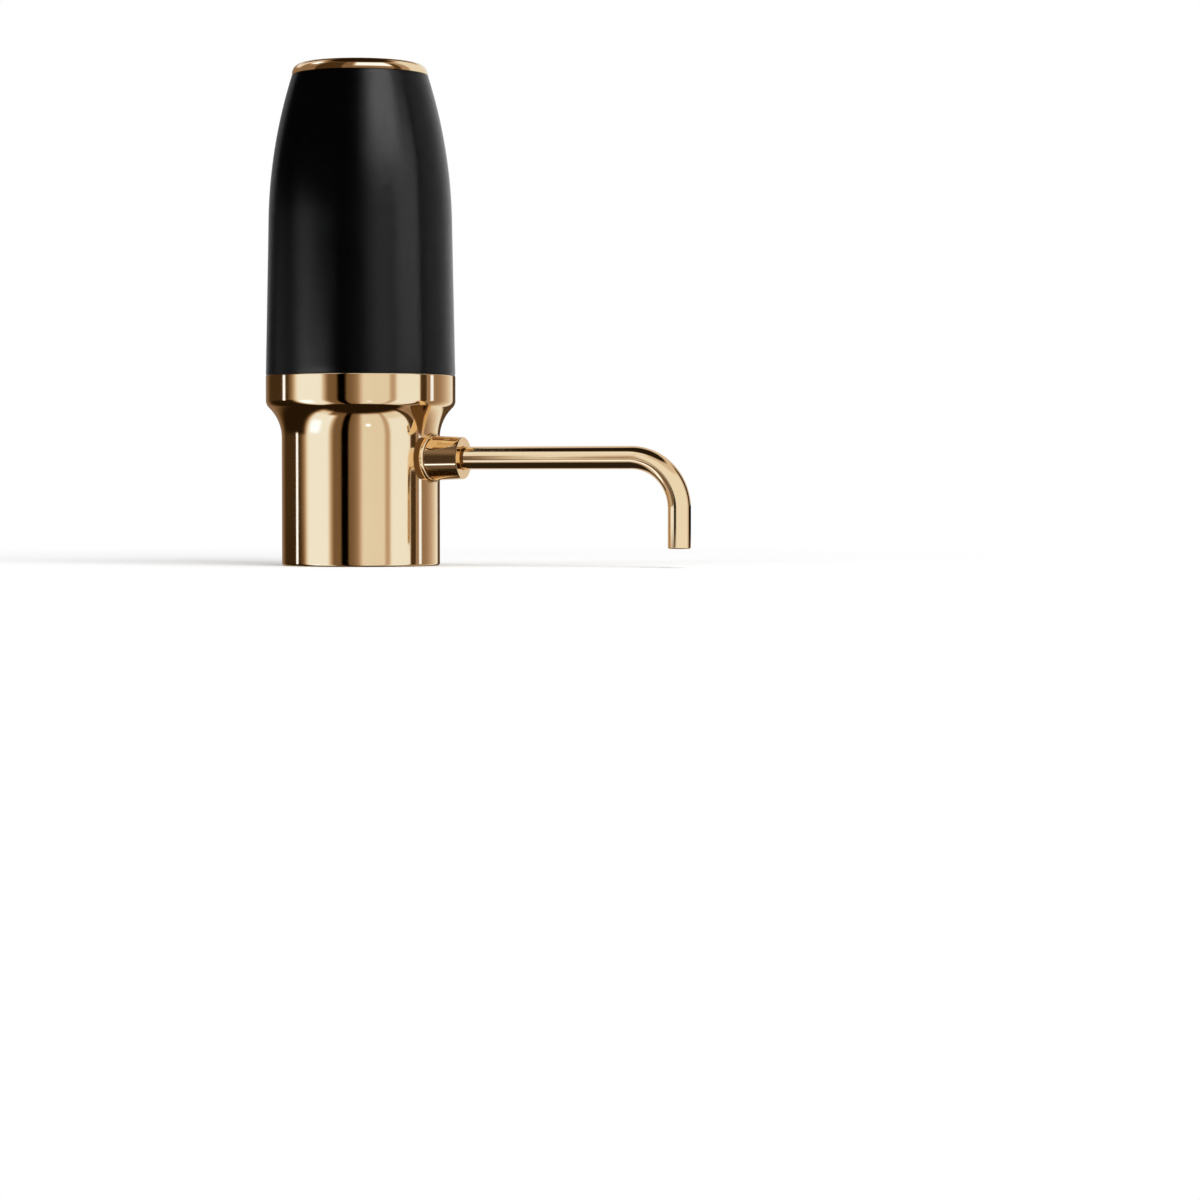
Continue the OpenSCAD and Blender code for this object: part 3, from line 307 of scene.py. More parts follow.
def moulded(name, colour, roughness, grain=2600, strength=0.12, **inputs):
    """Moulded plastic or rubber with a spark-eroded grain and slight shifts of tone."""
    s = Shader(name, colour, roughness, **inputs)
    s.vary_colour(s.noise(70, detail=3), 0.93, 1.07)
    s.vary_roughness(s.noise(300, detail=4), roughness - 0.05, roughness + 0.06)
    s.bump(s.noise(grain, detail=2), strength, 0.00005)
    return s.material


def metal(name, colour, roughness, stretch=(1, 1, 14), strength=0.05):
    """Bare metal with fine turning lines."""
    s = Shader(name, colour, roughness, metallic=1.0)
    s.vary_colour(s.noise(120, detail=3), 0.92, 1.05)
    s.vary_roughness(s.noise(600, stretch=stretch, detail=3), roughness - 0.06, roughness + 0.08)
    s.bump(s.noise(1500, stretch=stretch, detail=2), strength, 0.00004)
    return s.material


def solder_mask(name):
    """Green board with the faint relief of traces under the mask."""
    s = Shader(name, (0.02, 0.16, 0.07), 0.32, Coat_Weight=0.4, Coat_Roughness=0.15)
    brick = s.node("ShaderNodeTexBrick")
    brick.inputs["Scale"].default_value = 260
    brick.inputs["Mortar Size"].default_value = 0.06
    brick.inputs["Color1"].default_value = (0.02, 0.16, 0.07, 1)
    brick.inputs["Color2"].default_value = (0.018, 0.14, 0.06, 1)
    brick.inputs["Mortar"].default_value = (0.03, 0.22, 0.1, 1)
    s.link(s.coords, brick.inputs["Vector"])
    s.link(brick.outputs["Color"], s.bsdf.inputs["Base Color"])
    s.bump(brick.outputs["Fac"], 0.15, 0.00005)
    return s.material


def windings(name):
    """Enamelled copper wire, laid turn by turn, with a painted shade in the grooves between the turns.
    """
    s = Shader(name, (0.72, 0.33, 0.17), 0.3, metallic=1.0)
    wave = s.node("ShaderNodeTexWave", wave_type="RINGS", rings_direction="Z")
    wave.inputs["Scale"].default_value = 1400
    wave.inputs["Distortion"].default_value = 1.5
    s.link(s.coords, wave.inputs["Vector"])
    # Painted shade: the colour follows the relief's rings and goes darker where they are low, in the
    # grooves between turns.
    s.vary_colour(wave.outputs["Fac"], 0.6, 1.1)
    s.bump(wave.outputs["Fac"], 0.5, 0.0001)
    return s.material


gold = polished_gold("polished_gold")
gold_tube = polished_gold("polished_gold_tube")
black_satin = satin_black("satin_black")
black_button = moulded("fine_matte_black", (0.012, 0.012, 0.0125), 0.42,
                       grain=4200, strength=0.1, IOR=1.45)

FINISHES = {
    "gold": gold,
    "gold_tube": gold_tube,
    "black_satin": black_satin,
    "black_button": black_button,
    "steel": metal("bright_steel", (0.62, 0.62, 0.63), 0.22),
    "seal_rubber": moulded("matte_rubber", (0.03, 0.03, 0.03), 0.7, grain=3500, strength=0.2),
    "silicone": moulded("milky_silicone", (0.72, 0.72, 0.7), 0.45, grain=2200, strength=0.08,
                        Subsurface_Weight=0.3, Subsurface_Scale=0.002),
    "white_plastic": moulded("white_plastic", (0.82, 0.82, 0.8), 0.42),
    "grey_plastic": moulded("grey_plastic", (0.2, 0.2, 0.21), 0.5),
    "ferrite": moulded("ground_ferrite", (0.08, 0.08, 0.085), 0.6, grain=1800, strength=0.25),
    "bronze": metal("sintered_bronze", (0.6, 0.42, 0.2), 0.38, stretch=(1, 1, 1), strength=0.2),
    "copper": windings("enamelled_copper"),
    "cell_wrap": moulded("cell_film", (0.1, 0.24, 0.5), 0.28, grain=500, strength=0.06),
    "board": solder_mask("solder_mask"),
    "lead_red": moulded("red_insulation", (0.5, 0.03, 0.03), 0.45, grain=1500, strength=0.1),
    "lead_grey": moulded("grey_insulation", (0.25, 0.25, 0.26), 0.45, grain=1500, strength=0.1),
}

for part in frame["record"]["subparts"]:
    mesh = nodes[part["node"]].data
    mesh.materials.clear()
    mesh.materials.append(FINISHES[part["material_slot"]])


# Collar: rim, straight skirt, hollow sweep, rounded brow, band, spigot and the stepped bore

SWEEP_R, BROW_R = 10.4, 2.4
BAND_H, BAND_TOP = 6.2, GRIP_Z
BAND_Z = BAND_TOP - BAND_H
SWEEP_A = math.degrees(math.acos(1 - (GRIP_R - COLLAR_R) / (SWEEP_R + BROW_R)))
SWEEP_Z = BAND_Z - (SWEEP_R + BROW_R) * math.sin(math.radians(SWEEP_A))


def collar_r_at(z):
    """Outside radius of the skirt and of the sweep above it."""
    if z <= SWEEP_Z:
        return COLLAR_R
    return COLLAR_R + SWEEP_R - math.sqrt(SWEEP_R ** 2 - (z - SWEEP_Z) ** 2)


def collar_outline():
    """Outside from the rim up to the band, then the spigot and the bore back down."""
    rim, edge, lip = 0.5, 0.25, 0.4
    spigot_r, spigot_z = GRIP_R - 2.3, BAND_TOP + 4
    deck_r, deck_z = GRIP_R - 3.2, BAND_TOP - 8
    core_r, core_z = COLLAR_R - CORE_WALL, 20.0
    skirt_r = COLLAR_R - SKIRT_WALL
    return [
        *arc(COLLAR_R - rim, rim, rim, -90, 0, 6),
        *arc(COLLAR_R + SWEEP_R, SWEEP_Z, SWEEP_R, 180, 180 - SWEEP_A, 1.5),
        *arc(GRIP_R - BROW_R, BAND_Z, BROW_R, -SWEEP_A, 0, 1.5),
        *arc(GRIP_R - edge, BAND_TOP - edge, edge, 0, 90, 15),
        (spigot_r, BAND_TOP), (spigot_r, spigot_z), (deck_r, spigot_z), (deck_r, deck_z),
        (core_r, deck_z), (core_r, core_z), (skirt_r, core_z),
        *arc(skirt_r + lip, lip, lip, 180, 270, 15),
    ]


collar = swept("collar_polished", collar_outline(), segments=288)
place_piece(collar, "base", "collar", gold)


# Grip: drafted plain part, rounded shoulder, hollow inside, with the slot of the charging inlet

GRIP_PLAIN, GRIP_DRAFT, GRIP_WALL = 38.5, 1.15, 2.2
SEAM, SEAM_H = 0.02, 0.4
PLAIN_ROWS = (SEAM_H, 2, 4, 6, 8, 10, 12, 14, 18, 24, 30, 36)
INLET_GAP = 0.4
CUT_IN, CUT_OUT = 6, 2


def grip_arc():
    """Centre, radius and end angle of the shoulder's arc, which is tangent to the plain part."""
    d = math.radians(GRIP_DRAFT)
    z0 = GRIP_Z + GRIP_PLAIN
    r0 = GRIP_R - GRIP_PLAIN * math.tan(d)
    dr, dz = GRIP_TOP_R - r0, GRIP_TOP_Z - z0
    radius = -(dr * dr + dz * dz) / (2 * (dr * math.cos(d) + dz * math.sin(d)))
    x, z = r0 - radius * math.cos(d), z0 - radius * math.sin(d)
    return x, z, radius, math.degrees(math.asin((GRIP_TOP_Z - z) / radius))


def grip_outline():
    """Outside from the foot's seam up over the shoulder, then the neck and the hollow back down."""
    x, z, radius, end = grip_arc()
    foot, top_edge, top_turn = 0.15, 0.2, 0.06
    neck_r, neck_z = GRIP_TOP_R - 2.2, GRIP_TOP_Z - 5
    bore_r, bore_z = GRIP_R - GRIP_WALL, GRIP_Z + 4.1
    slope = math.tan(math.radians(GRIP_DRAFT))
    plain = [(GRIP_R - SEAM - (h - SEAM_H) * slope, GRIP_Z + h) for h in PLAIN_ROWS]
    hollow = arc(x, z, radius - GRIP_WALL, end, GRIP_DRAFT, 0.5)
    return [
        (GRIP_R - foot, GRIP_Z), *plain,
        *arc(x, z, radius, GRIP_DRAFT, end - top_turn, 0.25),
        (GRIP_TOP_R - top_edge, GRIP_TOP_Z), (neck_r, GRIP_TOP_Z), (neck_r, neck_z),
        *[p for p in hollow if p[1] < neck_z],
        (bore_r, bore_z), (bore_r, GRIP_Z),
    ]


def slot_prism(name, width, height, mid_z, y0, y1, steps=24):
    """Prism with round ends along +Y."""
    ring = []
    half, r = (width - height) / 2, height / 2
    for s in (1, -1):
        for k in range(steps + 1):
            a = math.radians(-90 + 180 * k / steps)
            ring.append((s * (half + r * math.cos(a)), s * r * math.sin(a)))
    n = len(ring)
    verts = [Vector((x, y, mid_z + z)) * MM for y in (y0, y1) for x, z in ring]
    faces = [list(range(n)), list(range(n, 2 * n))[::-1]]
    faces += [[k, n + k, n + (k + 1) % n, (k + 1) % n] for k in range(n)]
    return add_object(name, verts, faces, smooth=False)


def cut(obj, cutter):
    """Takes the cutter out of the object, whose own normals stay away from the cut."""
    boolean = obj.modifiers.new("cut", "BOOLEAN")
    boolean.operation, boolean.solver, boolean.object = "DIFFERENCE", "EXACT", cutter
    bpy.context.view_layer.update()
    done = bpy.data.meshes.new_from_object(obj.evaluated_get(bpy.context.evaluated_depsgraph_get()))
    obj.modifiers.clear()
    obj.data = done
    bpy.data.objects.remove(cutter)


grip = swept("grip_satin", grip_outline(), segments=256)
usb_z = (usb_lo.z + usb_hi.z) / 2
usb_w, usb_h = usb_hi.x - usb_lo.x + INLET_GAP, usb_hi.z - usb_lo.z + INLET_GAP
cut(grip, slot_prism("inlet_cutter", usb_w, usb_h, usb_z, GRIP_R - CUT_IN, GRIP_R + CUT_OUT))
place_piece(grip, "base", "grip_shell", black_satin)


# Trim ring and button

BUTTON_R, BUTTON_CROWN = 13.0, 0.5
RING_BORE = BUTTON_R + 0.3
SLEEVE_SHARE = 0.35
RING_SLEEVE = RING_BORE + SLEEVE_SHARE * (GRIP_TOP_R - RING_BORE)


def ring_outline():
    """Sleeve in the grip's neck, foot on its top, rounded outside and the bore."""
    foot, fillet, lip = 0.12, 2.5, 0.3
    return [
        (RING_SLEEVE, ring_lo.z), (RING_SLEEVE, GRIP_TOP_Z),
        (GRIP_TOP_R - foot, GRIP_TOP_Z), (GRIP_TOP_R, GRIP_TOP_Z + foot),
        *arc(GRIP_TOP_R - fillet, RING_TOP - fillet, fillet, 0, 90, 3),
        *arc(RING_BORE + lip, RING_TOP - lip, lip, 90, 180, 15),
        (RING_BORE, ring_lo.z),
    ]


def button_outline():
    """Stem, seat of the spring and skirt from below, then the flange, the side and the crown."""
    edge, cap_t, wall = 0.25, 1.6, 1.4
    stem_r, stem_edge, stem_z = 2, 0.2, button_lo.z
    seat_in, seat_out, seat_h = 4.3, 6.3, 1.5
    flange_gap, flange_t, flange_r = 0.1, 1.1, button_hi.x
    flange_z = ring_lo.z - flange_gap - flange_t
    cap_z = RING_TOP - BUTTON_CROWN - cap_t
    r = (BUTTON_R ** 2 + BUTTON_CROWN ** 2) / (2 * BUTTON_CROWN)
    a = math.degrees(math.acos((BUTTON_R - edge) / r))
    crown = arc(0, RING_TOP - r, r, a, 90, 0.2)
    edge_z = crown[0][1]
    return [
        (0, stem_z), (stem_r - stem_edge, stem_z), (stem_r, stem_z + stem_edge), (stem_r, cap_z),
        (seat_in, cap_z), (seat_in, flange_z + seat_h), (seat_out, flange_z + seat_h), (seat_out, cap_z),
        (BUTTON_R - wall, cap_z), (BUTTON_R - wall, flange_z), (flange_r, flange_z),
        (flange_r, flange_z + flange_t), (BUTTON_R, flange_z + flange_t),
        *arc(BUTTON_R - edge, edge_z - edge, edge, 0, 80, 10), *crown,
    ]


ring = place_piece(swept("ring_polished", ring_outline()), "base", "top_ring", gold)
button = swept("button_cap", button_outline())
place_piece(button, "button", "power_button", black_button)


# Return spring of the button


def coil(name, turns=5, steps=60, sides=16, wire=0.3, dome=(30, 60)):
    """Round wire wound from the board up to the button, with domed ends."""
    lo, hi = (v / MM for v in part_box("button_spring"))
    r, z0, z1 = hi.x - wire, lo.z + wire, hi.z - wire
    n = turns * steps
    rows = [(0, math.radians(a)) for a in dome[::-1]] + [(i, 0.0) for i in range(n + 1)]
    rows += [(n, -math.radians(a)) for a in dome]
    slope = Vector((0, TAU * turns * r, z1 - z0)).normalized()
    verts, faces, tips = [], [], []
    for i, a in [(0, math.pi / 2), *rows, (n, -math.pi / 2)]:
        turn = TAU * turns * i / n
        out = Vector((math.cos(turn), math.sin(turn), 0))
        side = Vector((-math.sin(turn), math.cos(turn), 0))
        along = side * slope.y + Vector((0, 0, slope.z))
        up = along.cross(out)
        place = out * r + Vector((0, 0, z0 + (z1 - z0) * i / n)) - along * wire * math.sin(a)
        if abs(abs(a) - math.pi / 2) < NEAR:
            tips.append(len(verts))
            verts.append(place * MM)
            continue
        for k in range(sides):
            b = TAU * k / sides
            verts.append((place + wire * math.cos(a) * (math.cos(b) * out + math.sin(b) * up)) * MM)
    first = tips[0] + 1
    last = first + (len(rows) - 1) * sides
    for row in range(len(rows) - 1):
        a, b = first + row * sides, first + (row + 1) * sides
        faces += [[a + k, a + (k + 1) % sides, b + (k + 1) % sides, b + k] for k in range(sides)]
    faces += [[tips[0], first + (k + 1) % sides, first + k] for k in range(sides)]
    faces += [[tips[1], last + k, last + (k + 1) % sides] for k in range(sides)]
    return add_object(name, verts, faces)


spring = place_piece(coil("button_coil"), "base", "button_spring", FINISHES["steel"])
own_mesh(spring)


# Spout: tapered boss with its saddle on the skirt, and the bent tube with a rounded lip

SOCKET_FACE, SOCKET_ROOT, SOCKET_TIP = 5.2, 5.65, socket_hi.x
SOCKET_BORE = SPOUT_R + 0.05
SADDLE_R, SADDLE_LIFT, SADDLE_SINK = 6.15, 0.6, 0.15


def socket_outline():
    """Bore from the tail to the mouth, then the face, the tapered outside and the tail."""
    edge, lip, seat_l = 0.3, 0.25, 4.5
    root_x, root_gap, root_l, shoulder_l = COLLAR_R - CORE_WALL, 0.02, 0.5, 0.4
    tail_r, tail_x = SOCKET_BORE + 1.65, socket_lo.x
    return [
        (SPOUT_BORE, tail_x), (SOCKET_BORE, tail_x + seat_l), (SOCKET_BORE, SOCKET_TIP - lip),
        *arc(SOCKET_BORE + lip, SOCKET_TIP - lip, lip, 180, 90, 15),
        *arc(SOCKET_FACE - edge, SOCKET_TIP - edge, edge, 90, 0, 10),
        (SOCKET_ROOT - root_gap, root_x + root_l), (tail_r, root_x + shoulder_l), (tail_r, tail_x),
    ][::-1]


def saddle(name, turns=192):
    """Thin flange under the boss that follows the skirt and rounds over at its edge."""
    edge, bore = 0.3, 4.7
    flat = SADDLE_R - edge
    under = SADDLE_LIFT + SADDLE_SINK
    bend = [math.radians(15 * k) for k in range(1, 7)]
    rows = [(r, 0.0) for r in (bore, 5.2, 5.5, flat)]
    rows += [(flat + edge * math.sin(a), edge * (1 - math.cos(a))) for a in bend]
    rows += [(SADDLE_R, under), (bore, under)]
    verts, faces = [], []
    for r, drop in rows:
        for k in range(turns):
            a = TAU * k / turns
            y, z = r * math.cos(a), SPOUT_Z + r * math.sin(a)
            x = math.sqrt((collar_r_at(z) + SADDLE_LIFT - drop) ** 2 - y * y)
            verts.append(Vector((x, y, z)) * MM)
    n = len(rows)
    for i in range(n):
        for k in range(turns):
            m, j = (k + 1) % turns, (i + 1) % n
            faces.append([i * turns + k, j * turns + k, j * turns + m, i * turns + m])
    obj = add_object(name, verts, faces)
    obj.data.set_sharp_from_angle(angle=math.radians(40))
    return obj


def spout_outline():
    """Outside, lip, bore and hidden end of the tube, as radius and distance along its axis."""
    lip = 0.35
    end = BEND_X + BEND_L + (SPOUT_Z - SPOUT_BEND - spout_lo.z)
    bend = [BEND_X + BEND_L * i / 60 for i in range(61)]
    outside = [spout_lo.x, 30, 40, 50, 60, 66, *bend, bend[-1] + 2, bend[-1] + 5, end - lip]
    inside = [end - lip, bend[-1] + 2, *bend[::-3], 66, 50, 30, spout_lo.x]
    return [
        *[(SPOUT_R, s) for s in outside],
        *[(SPOUT_R - lip + x, end - lip + y) for x, y in arc(0, 0, lip, 0, 90, 10)],
        *[(SPOUT_BORE + lip - x, end - lip + y) for x, y in arc(0, 0, lip, 90, 0, 10)],
        *[(SPOUT_BORE, s) for s in inside],
    ]


socket = swept("socket_polished", socket_outline(), level, 160)
place_piece(socket, "base", "spout_socket", gold)
flange = place_piece(saddle("saddle_polished"), "base", "spout_socket", gold)
spout = swept("spout_polished", spout_outline(), spout_path, 96)
place_piece(spout, "spout", "spout_tube", gold_tube)


# Camera at the photograph's place: azimuth 20.8 degrees, a little above the rim, tilted down slightly

AZIMUTH, TILT = math.radians(20.8), math.radians(1.81)
DISTANCE, ASIDE, HEIGHT = 880.6, 59.45, 19.1
SENSOR, LENS = 36, 106.15
BACK = Vector((math.sin(AZIMUTH), -math.cos(AZIMUTH), 0))
RIGHT = Vector((math.cos(AZIMUTH), math.sin(AZIMUTH), 0))

camera_data = bpy.data.cameras.new("camera")
camera_data.sensor_width = SENSOR
camera_data.lens = LENS
camera_data.clip_start, camera_data.clip_end = 0.01, 50
camera = bpy.data.objects.new("camera", camera_data)
camera.location = (BACK * DISTANCE + RIGHT * ASIDE + Vector((0, 0, HEIGHT))) * MM
gaze = -BACK * math.cos(TILT) - Vector((0, 0, math.sin(TILT)))
camera.rotation_mode = "QUATERNION"
camera.rotation_quaternion = gaze.to_track_quat("-Z", "Y")
bpy.context.scene.collection.objects.link(camera)
bpy.context.scene.camera = camera


# Studio, in metres: white surroundings, a pale floor, two soft lamps and tents of panels to mirror

WHITE = (1, 1, 1, 1)
WORLD_LIGHT = 0.7
FLOOR_COLOUR = (0.9, 0.9, 0.9, 1)
FLOOR_ROWS = (0.05, 0.1, 0.2, 0.4, 0.8, 1.6, 3.0)
FLOOR_DROP = 0.0001
FADE_START, FADE_END = 0.09, 0.3
MIDDLE_Z = 0.06


def emission(name):
    """White emission material, with its node tree, its shader and its output."""
    material = bpy.data.materials.new(name)
    material.use_nodes = True
    tree = material.node_tree
    tree.nodes.clear()
    glow = tree.nodes.new("ShaderNodeEmission")
    glow.inputs["Color"].default_value = WHITE
    glow.inputs["Strength"].default_value = 1.0
    out = tree.nodes.new("ShaderNodeOutputMaterial")
    tree.links.new(glow.outputs["Emission"], out.inputs["Surface"])
    return material, tree, glow, out


def math_of(tree, operation, a, b):
    """Output of a Math node that joins two outputs."""
    made = tree.nodes.new("ShaderNodeMath")
    made.operation = operation
    tree.links.new(a, made.inputs[0])
    tree.links.new(b, made.inputs[1])
    return made.outputs[0]


def white_world():
    """White where it is seen, mirrored or seen through, and a plain grey level as light."""
    world = bpy.data.worlds.new("studio")
    bpy.context.scene.world = world
    world.use_nodes = True
    tree = world.node_tree
    tree.nodes.clear()
    rays = tree.nodes.new("ShaderNodeLightPath").outputs
    either = math_of(tree, "MAXIMUM", rays["Is Camera Ray"], rays["Is Glossy Ray"])
    any_of = math_of(tree, "MAXIMUM", either, rays["Is Transmission Ray"])
    span = tree.nodes.new("ShaderNodeMapRange")
    span.inputs["To Min"].default_value = WORLD_LIGHT
    span.inputs["To Max"].default_value = 1.0
    back = tree.nodes.new("ShaderNodeBackground")
    back.inputs["Color"].default_value = WHITE
    out = tree.nodes.new("ShaderNodeOutputWorld")
    tree.links.new(any_of, span.inputs["Value"])
    tree.links.new(span.outputs["Result"], back.inputs["Strength"])
    tree.links.new(back.outputs["Background"], out.inputs["Surface"])


def floor(turns=96):
    """Pale disc that takes the shadow near the object and runs out into the white further off."""
    verts = [Vector((0, 0, 0))]
    for r in FLOOR_ROWS:
        angles = [TAU * k / turns for k in range(turns)]
        verts += [Vector((r * math.cos(a), r * math.sin(a), 0)) for a in angles]
    faces = [[0, 1 + k, 1 + (k + 1) % turns] for k in range(turns)]
    for row in range(len(FLOOR_ROWS) - 1):
        a, b = 1 + row * turns, 1 + (row + 1) * turns
        faces += [[a + k, b + k, b + (k + 1) % turns, a + (k + 1) % turns] for k in range(turns)]
    obj = add_object("floor", verts, faces, smooth=False)
    obj.location.z = -FLOOR_DROP
    material, tree, glow, out = emission("pale_floor")
    matte = tree.nodes.new("ShaderNodeBsdfDiffuse")
    matte.inputs["Color"].default_value = FLOOR_COLOUR
    coords = tree.nodes.new("ShaderNodeTexCoord")
    reach = tree.nodes.new("ShaderNodeVectorMath")
    reach.operation = "LENGTH"
    fade = tree.nodes.new("ShaderNodeMapRange")
    fade.interpolation_type = "SMOOTHSTEP"
    fade.inputs["From Min"].default_value = FADE_START
    fade.inputs["From Max"].default_value = FADE_END
    rays = tree.nodes.new("ShaderNodeLightPath").outputs
    mix = tree.nodes.new("ShaderNodeMixShader")
    tree.links.new(coords.outputs["Object"], reach.inputs[0])
    tree.links.new(reach.outputs["Value"], fade.inputs["Value"])
    seen = math_of(tree, "MULTIPLY", fade.outputs["Result"], rays["Is Camera Ray"])
    tree.links.new(seen, mix.inputs["Fac"])
    tree.links.new(matte.outputs["BSDF"], mix.inputs[1])
    tree.links.new(glow.outputs["Emission"], mix.inputs[2])
    tree.links.new(mix.outputs["Shader"], out.inputs["Surface"])
    obj.data.materials.append(material)
    obj.visible_glossy = False


def lamp(name, turn, rise, distance, size, watts):
    """Soft square lamp at an angle to the camera's side, which the metal doesn't mirror."""
    data = bpy.data.lights.new(name, "AREA")
    data.shape = "SQUARE"
    data.size = size
    data.energy = watts
    obj = bpy.data.objects.new(name, data)
    a, e = math.radians(turn), math.radians(rise)
    toward = (BACK * math.cos(a) + RIGHT * math.sin(a)) * math.cos(e) + Vector((0, 0, math.sin(e)))
    obj.location = Vector((0, 0, MIDDLE_Z)) + toward * distance
    obj.rotation_mode = "QUATERNION"
    obj.rotation_quaternion = (-toward).to_track_quat("-Z", "Y")
    obj.visible_glossy = False
    bpy.context.scene.collection.objects.link(obj)


# Panels of the tents, later ones over earlier ones. Each gives in degrees its turn from the camera's
# side and its rise, from and to, then its level, and how soft its edges are in turn and in rise.

ROUND, FULL = (-200, 200), (-100, 100)
SHELL_PANELS = [
    (ROUND, FULL, 0.90, 4, 4),
    ((-166, -88), FULL, 0.06, 26, 6),
    ((-190, -138), (6, 60), 0.25, 14, 8),
    ((-190, -150), (-54, 8), 0.30, 14, 6),
    ((-124, -86), (-54, 6), 0.24, 16, 5),
    ((-60, 22), (-100, 20), 0.10, 20, 6),
    ((-74, -40), (-16, 2.5), 2.3, 18, 3),
    ((-136, -8), (9, 62), 0.01, 8, 8),
    ((12, 60), (-66, 20), 0.86, 40, 8),
    ((-30, 3), (3.5, 62), 0.03, 14, 4),
    ((35, 42), (-66, 16), 0.55, 5, 8),
    ((46, 76), (3, 26), 1.45, 6, 4),
    ((77, 87), (-80, 40), 0.13, 4, 6),
    ((87, 190), (-62, 40), 0.40, 6, 8),
    ((130, 190), (-62, 40), 0.70, 44, 8),
    ((-28.5, -17.5), (-75, 62), 0.0, 4, 6),
    ((14, 56), (22, 58), 3.4, 16, 16),
    (ROUND, (64, 100), 0.03, 4, 8),
    (ROUND, (-100, -64), 0.02, 4, 8),
]
COLLAR_PANELS = [
    (ROUND, FULL, 0.90, 4, 4),
    ((-166, -88), FULL, 0.06, 26, 6),
    ((-140, -88), (-100, -6), 0.02, 16, 8),
    ((-190, -150), (-62, 40), 0.28, 24, 8),
    ((-60, 0), (-100, 20), 0.20, 10, 6),
    ((-108, -103), (-8, 3), 1.25, 2, 4),
    ((-85, -44), (-54, 5), 1.0, 12, 6),
    ((-78, -64), (-36, -12), 1.35, 12, 14),
    ((2, 60), (-66, 20), 0.86, 36, 8),
    ((8, 14), (-34, -28), 1.40, 5, 5),
    ((35, 42), (-66, 16), 0.55, 5, 8),
    ((44, 75), (-46, 3), 0.98, 5, 8),
    ((76, 87), (-80, 40), 0.07, 3, 6),
    ((87, 190), (-62, 40), 0.34, 4, 8),
    ((125, 190), (-62, 40), 0.92, 44, 8),
    ((149, 190), (-62, 40), 0.10, 5, 8),
    ((92.5, 98), (-12, 3), 1.1, 2, 4),
    ((-28.5, -17.5), (-75, 62), 0.0, 4, 6),
    (ROUND, (64, 100), 0.03, 4, 8),
    (ROUND, (-100, -62), 0.02, 4, 8),
]
SPOUT_PANELS = [
    (ROUND, FULL, 0.75, 4, 4),
    ((-140, -104), FULL, 0.10, 10, 6),
    ((-108, -20), (-40, 54), 0.58, 8, 8),
    ((-75, -44.6), (-26, 22), 0.20, 2, 8),
    ((-44.6, -41.8), (-14, 26), 0.95, 2, 8),
    ((-62, -38), (16, 50), 0.95, 4, 8),
    ((-100, -20), (42, 54), 1.0, 8, 6),
    ((-100, -30), (-36, -26), 1.25, 8, 4),
    ((-38, 80), (-40, 40), 0.95, 3, 8),
    ((-57, -30), (-5, -1.9), 0.0, 2, 0.8),
    ((-100, -57), (-5, -1.9), 1.05, 2, 0.8),
    ((96, 124), (-60, 40), 0.04, 8, 8),
    ((107, 172), (-5, -1.9), 0.0, 4, 0.8),
    (ROUND, (58, 100), 0.02, 4, 8),
    (ROUND, (-100, -46), 0.03, 4, 8),
]
SOCKET_PANELS = [
    (ROUND, FULL, 0.16, 4, 4),
    ((-90, 0), (-28, 12), 0.07, 12, 16),
    ((-70, -10), (20, 42), 0.25, 12, 14),
    ((-80, -20), (-37, -31), 1.7, 8, 3),
    ((96, 190), (-60, 40), 0.8, 8, 8),
    (ROUND, (58, 100), 0.02, 4, 8),
    (ROUND, (-100, -56), 0.03, 4, 8),
]
RING_PANELS = [
    (ROUND, FULL, 0.30, 4, 4),
    ((-170, -130), (24, 60), 0.9, 10, 8),
    ((-82, -30), (0, 62), 0.07, 4, 8),
    ((-122, -96), (44, 58), 1.3, 8, 8),
    ((-30, -12), (0, 62), 0.25, 6, 8),
    ((-10, 58), (26, 60), 1.15, 10, 8),
    ((60, 74), (0, 50), 0.09, 5, 8),
    ((74, 92), (0, 60), 0.46, 5, 8),
    ((92, 175), (0, 60), 0.9, 6, 10),
    ((-190, -150), (34, 100), 0.04, 16, 10),
    ((150, 190), (34, 100), 0.04, 16, 10),
    (ROUND, (64, 100), 0.02, 4, 8),
]

# Levels above which a panel turns creamy and no longer changes its tint, and the tint of a neutral tent
CREAM_LEVEL, TOP_LEVEL = 0.75, 1.1
NEUTRAL = (1, 1, 1.02)


def ease(x):
    """Smooth step from zero to one."""
    x = np.clip(x, 0.0, 1.0)
    return x * x * (3 - 2 * x)


def within(v, span, soft):
    """One inside the span, zero outside, over edges of that softness."""
    return ease((v - span[0]) / soft + 0.5) * ease((span[1] - v) / soft + 0.5)


def tent_colours(panels, turn, rise, neutral):
    """Colour at each turn and rise: warm where it is dim, creamy where it is bright, or neutral."""
    value = np.zeros_like(turn)
    for turns, rises, panel, soft_turn, soft_rise in panels:
        value += (panel - value) * within(turn, turns, soft_turn) * within(rise, rises, soft_rise)
    tinted = np.minimum(value, TOP_LEVEL)
    bright = np.maximum(tinted - CREAM_LEVEL, 0)
    green = 0.6 + 0.5 * tinted + 0.6 * bright
    blue = 0.25 + 1.1 * tinted + 6.5 * bright ** 2
    warm = (np.ones_like(value), green, blue)
    rgb = [value * (a + (b - a) * neutral) for a, b in zip(warm, NEUTRAL)]
    return np.stack([*rgb, np.ones_like(value)], axis=-1)


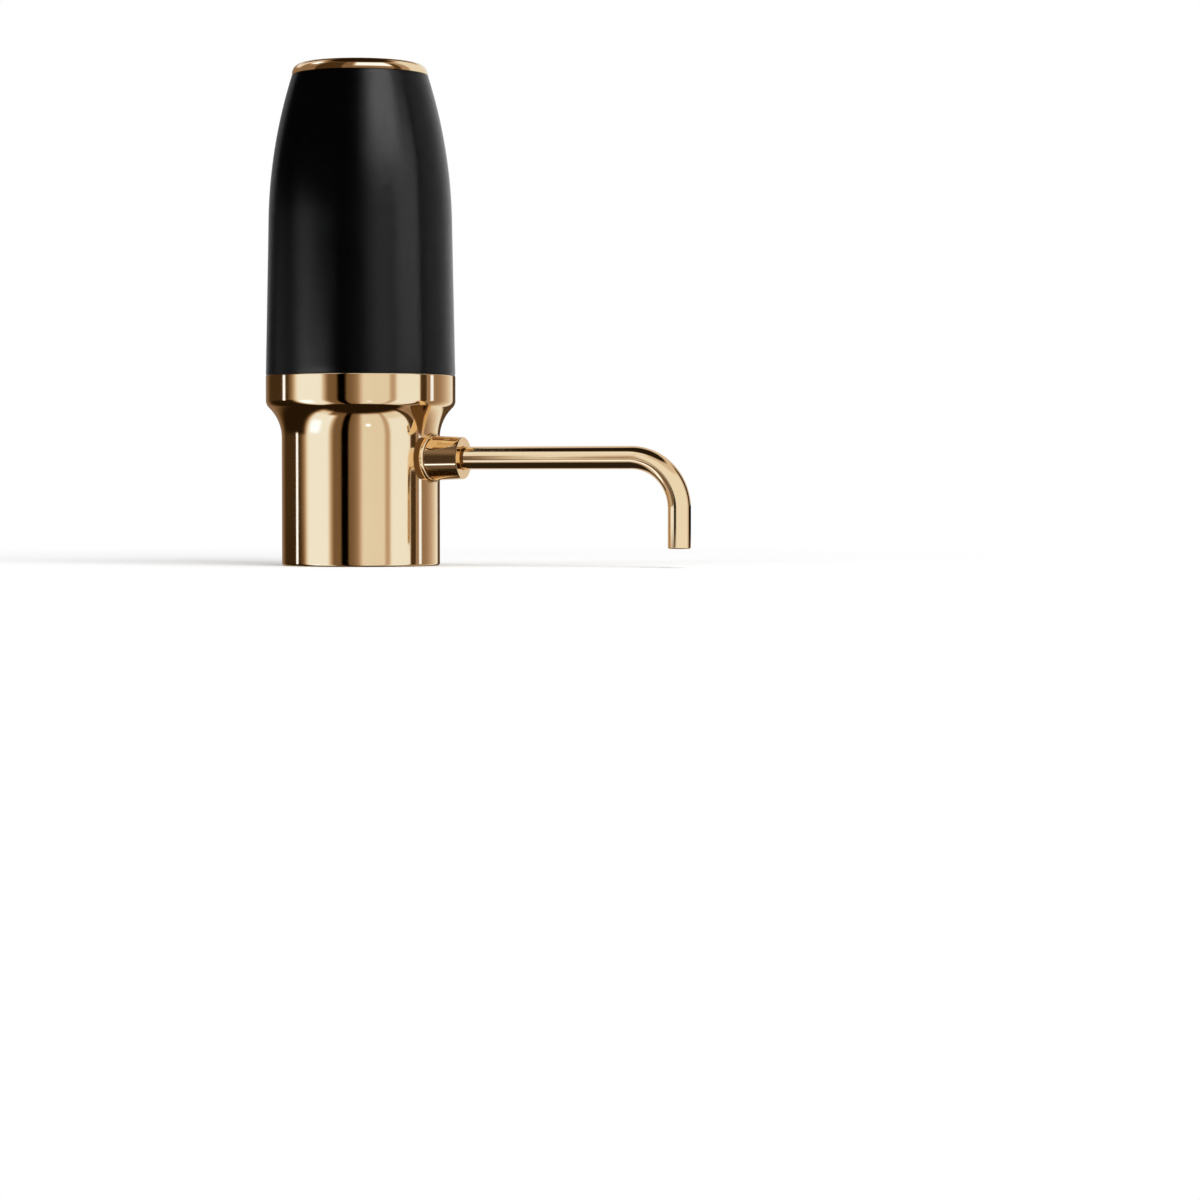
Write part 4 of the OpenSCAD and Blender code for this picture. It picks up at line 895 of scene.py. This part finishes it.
def tent(name, panels, radius, neutral, pieces, for_pieces=True, turns=480, rows=240):
    """Sphere of panels for the mirrored light of some pieces, or of all but those pieces."""
    front = np.array((camera.location.x, camera.location.y, 0))
    front /= np.linalg.norm(front)
    right = np.array((-front[1], front[0], 0))
    up = np.array((0, 0, 1))
    row_rises, turn_angles = np.linspace(-90, 90, rows + 1), np.arange(turns) * 360 / turns - 180
    rise, turn = np.meshgrid(row_rises, turn_angles, indexing="ij")
    a, e = (np.radians(v)[..., None] for v in (turn, rise))
    toward = (front * np.cos(a) + right * np.sin(a)) * np.cos(e) + up * np.sin(e)
    verts = (up * MIDDLE_Z + radius * toward).reshape(-1, 3)
    faces = []
    for i in range(rows):
        a, b = i * turns, (i + 1) * turns
        faces += [[a + k, b + k, b + (k + 1) % turns, a + (k + 1) % turns] for k in range(turns)]
    obj = add_object(name, verts, faces, smooth=False)
    glow = tent_colours(panels, turn, rise, neutral)
    colours = obj.data.color_attributes.new("glow", "FLOAT_COLOR", "POINT")
    colours.data.foreach_set("color", glow.ravel())
    material, tree, light, out = emission(name)
    attribute = tree.nodes.new("ShaderNodeAttribute")
    attribute.attribute_name = "glow"
    tree.links.new(attribute.outputs["Color"], light.inputs["Color"])
    if for_pieces:
        clear = tree.nodes.new("ShaderNodeBsdfTransparent")
        both = tree.nodes.new("ShaderNodeAddShader")
        tree.links.new(light.outputs["Emission"], both.inputs[0])
        tree.links.new(clear.outputs["BSDF"], both.inputs[1])
        tree.links.new(both.outputs["Shader"], out.inputs["Surface"])
    material.cycles.emission_sampling = "NONE"
    obj.data.materials.append(material)
    group = bpy.data.collections.new(name)
    for piece in pieces:
        group.objects.link(piece)
    for member in group.collection_objects:
        member.light_linking.link_state = "INCLUDE" if for_pieces else "EXCLUDE"
    obj.light_linking.receiver_collection = group
    obj.visible_camera = False
    obj.visible_diffuse = False
    obj.visible_shadow = False


white_world()
floor()
lamp("lamp_right", 40, 45, 0.9, 0.6, 5.0)
lamp("lamp_left", -65, 25, 1.0, 0.6, 2.5)
tent("shell_tent", SHELL_PANELS, 0.8, 1.0, [collar, socket, flange, spout, ring], for_pieces=False)
tent("collar_tent", COLLAR_PANELS, 0.79, 0.0, [collar])
tent("spout_tent", SPOUT_PANELS, 0.78, 0.3, [spout, flange])
tent("socket_tent", SOCKET_PANELS, 0.77, 0.3, [socket])
tent("ring_tent", RING_PANELS, 0.76, 0.0, [ring])

bpy.context.scene.view_settings.view_transform = "Standard"
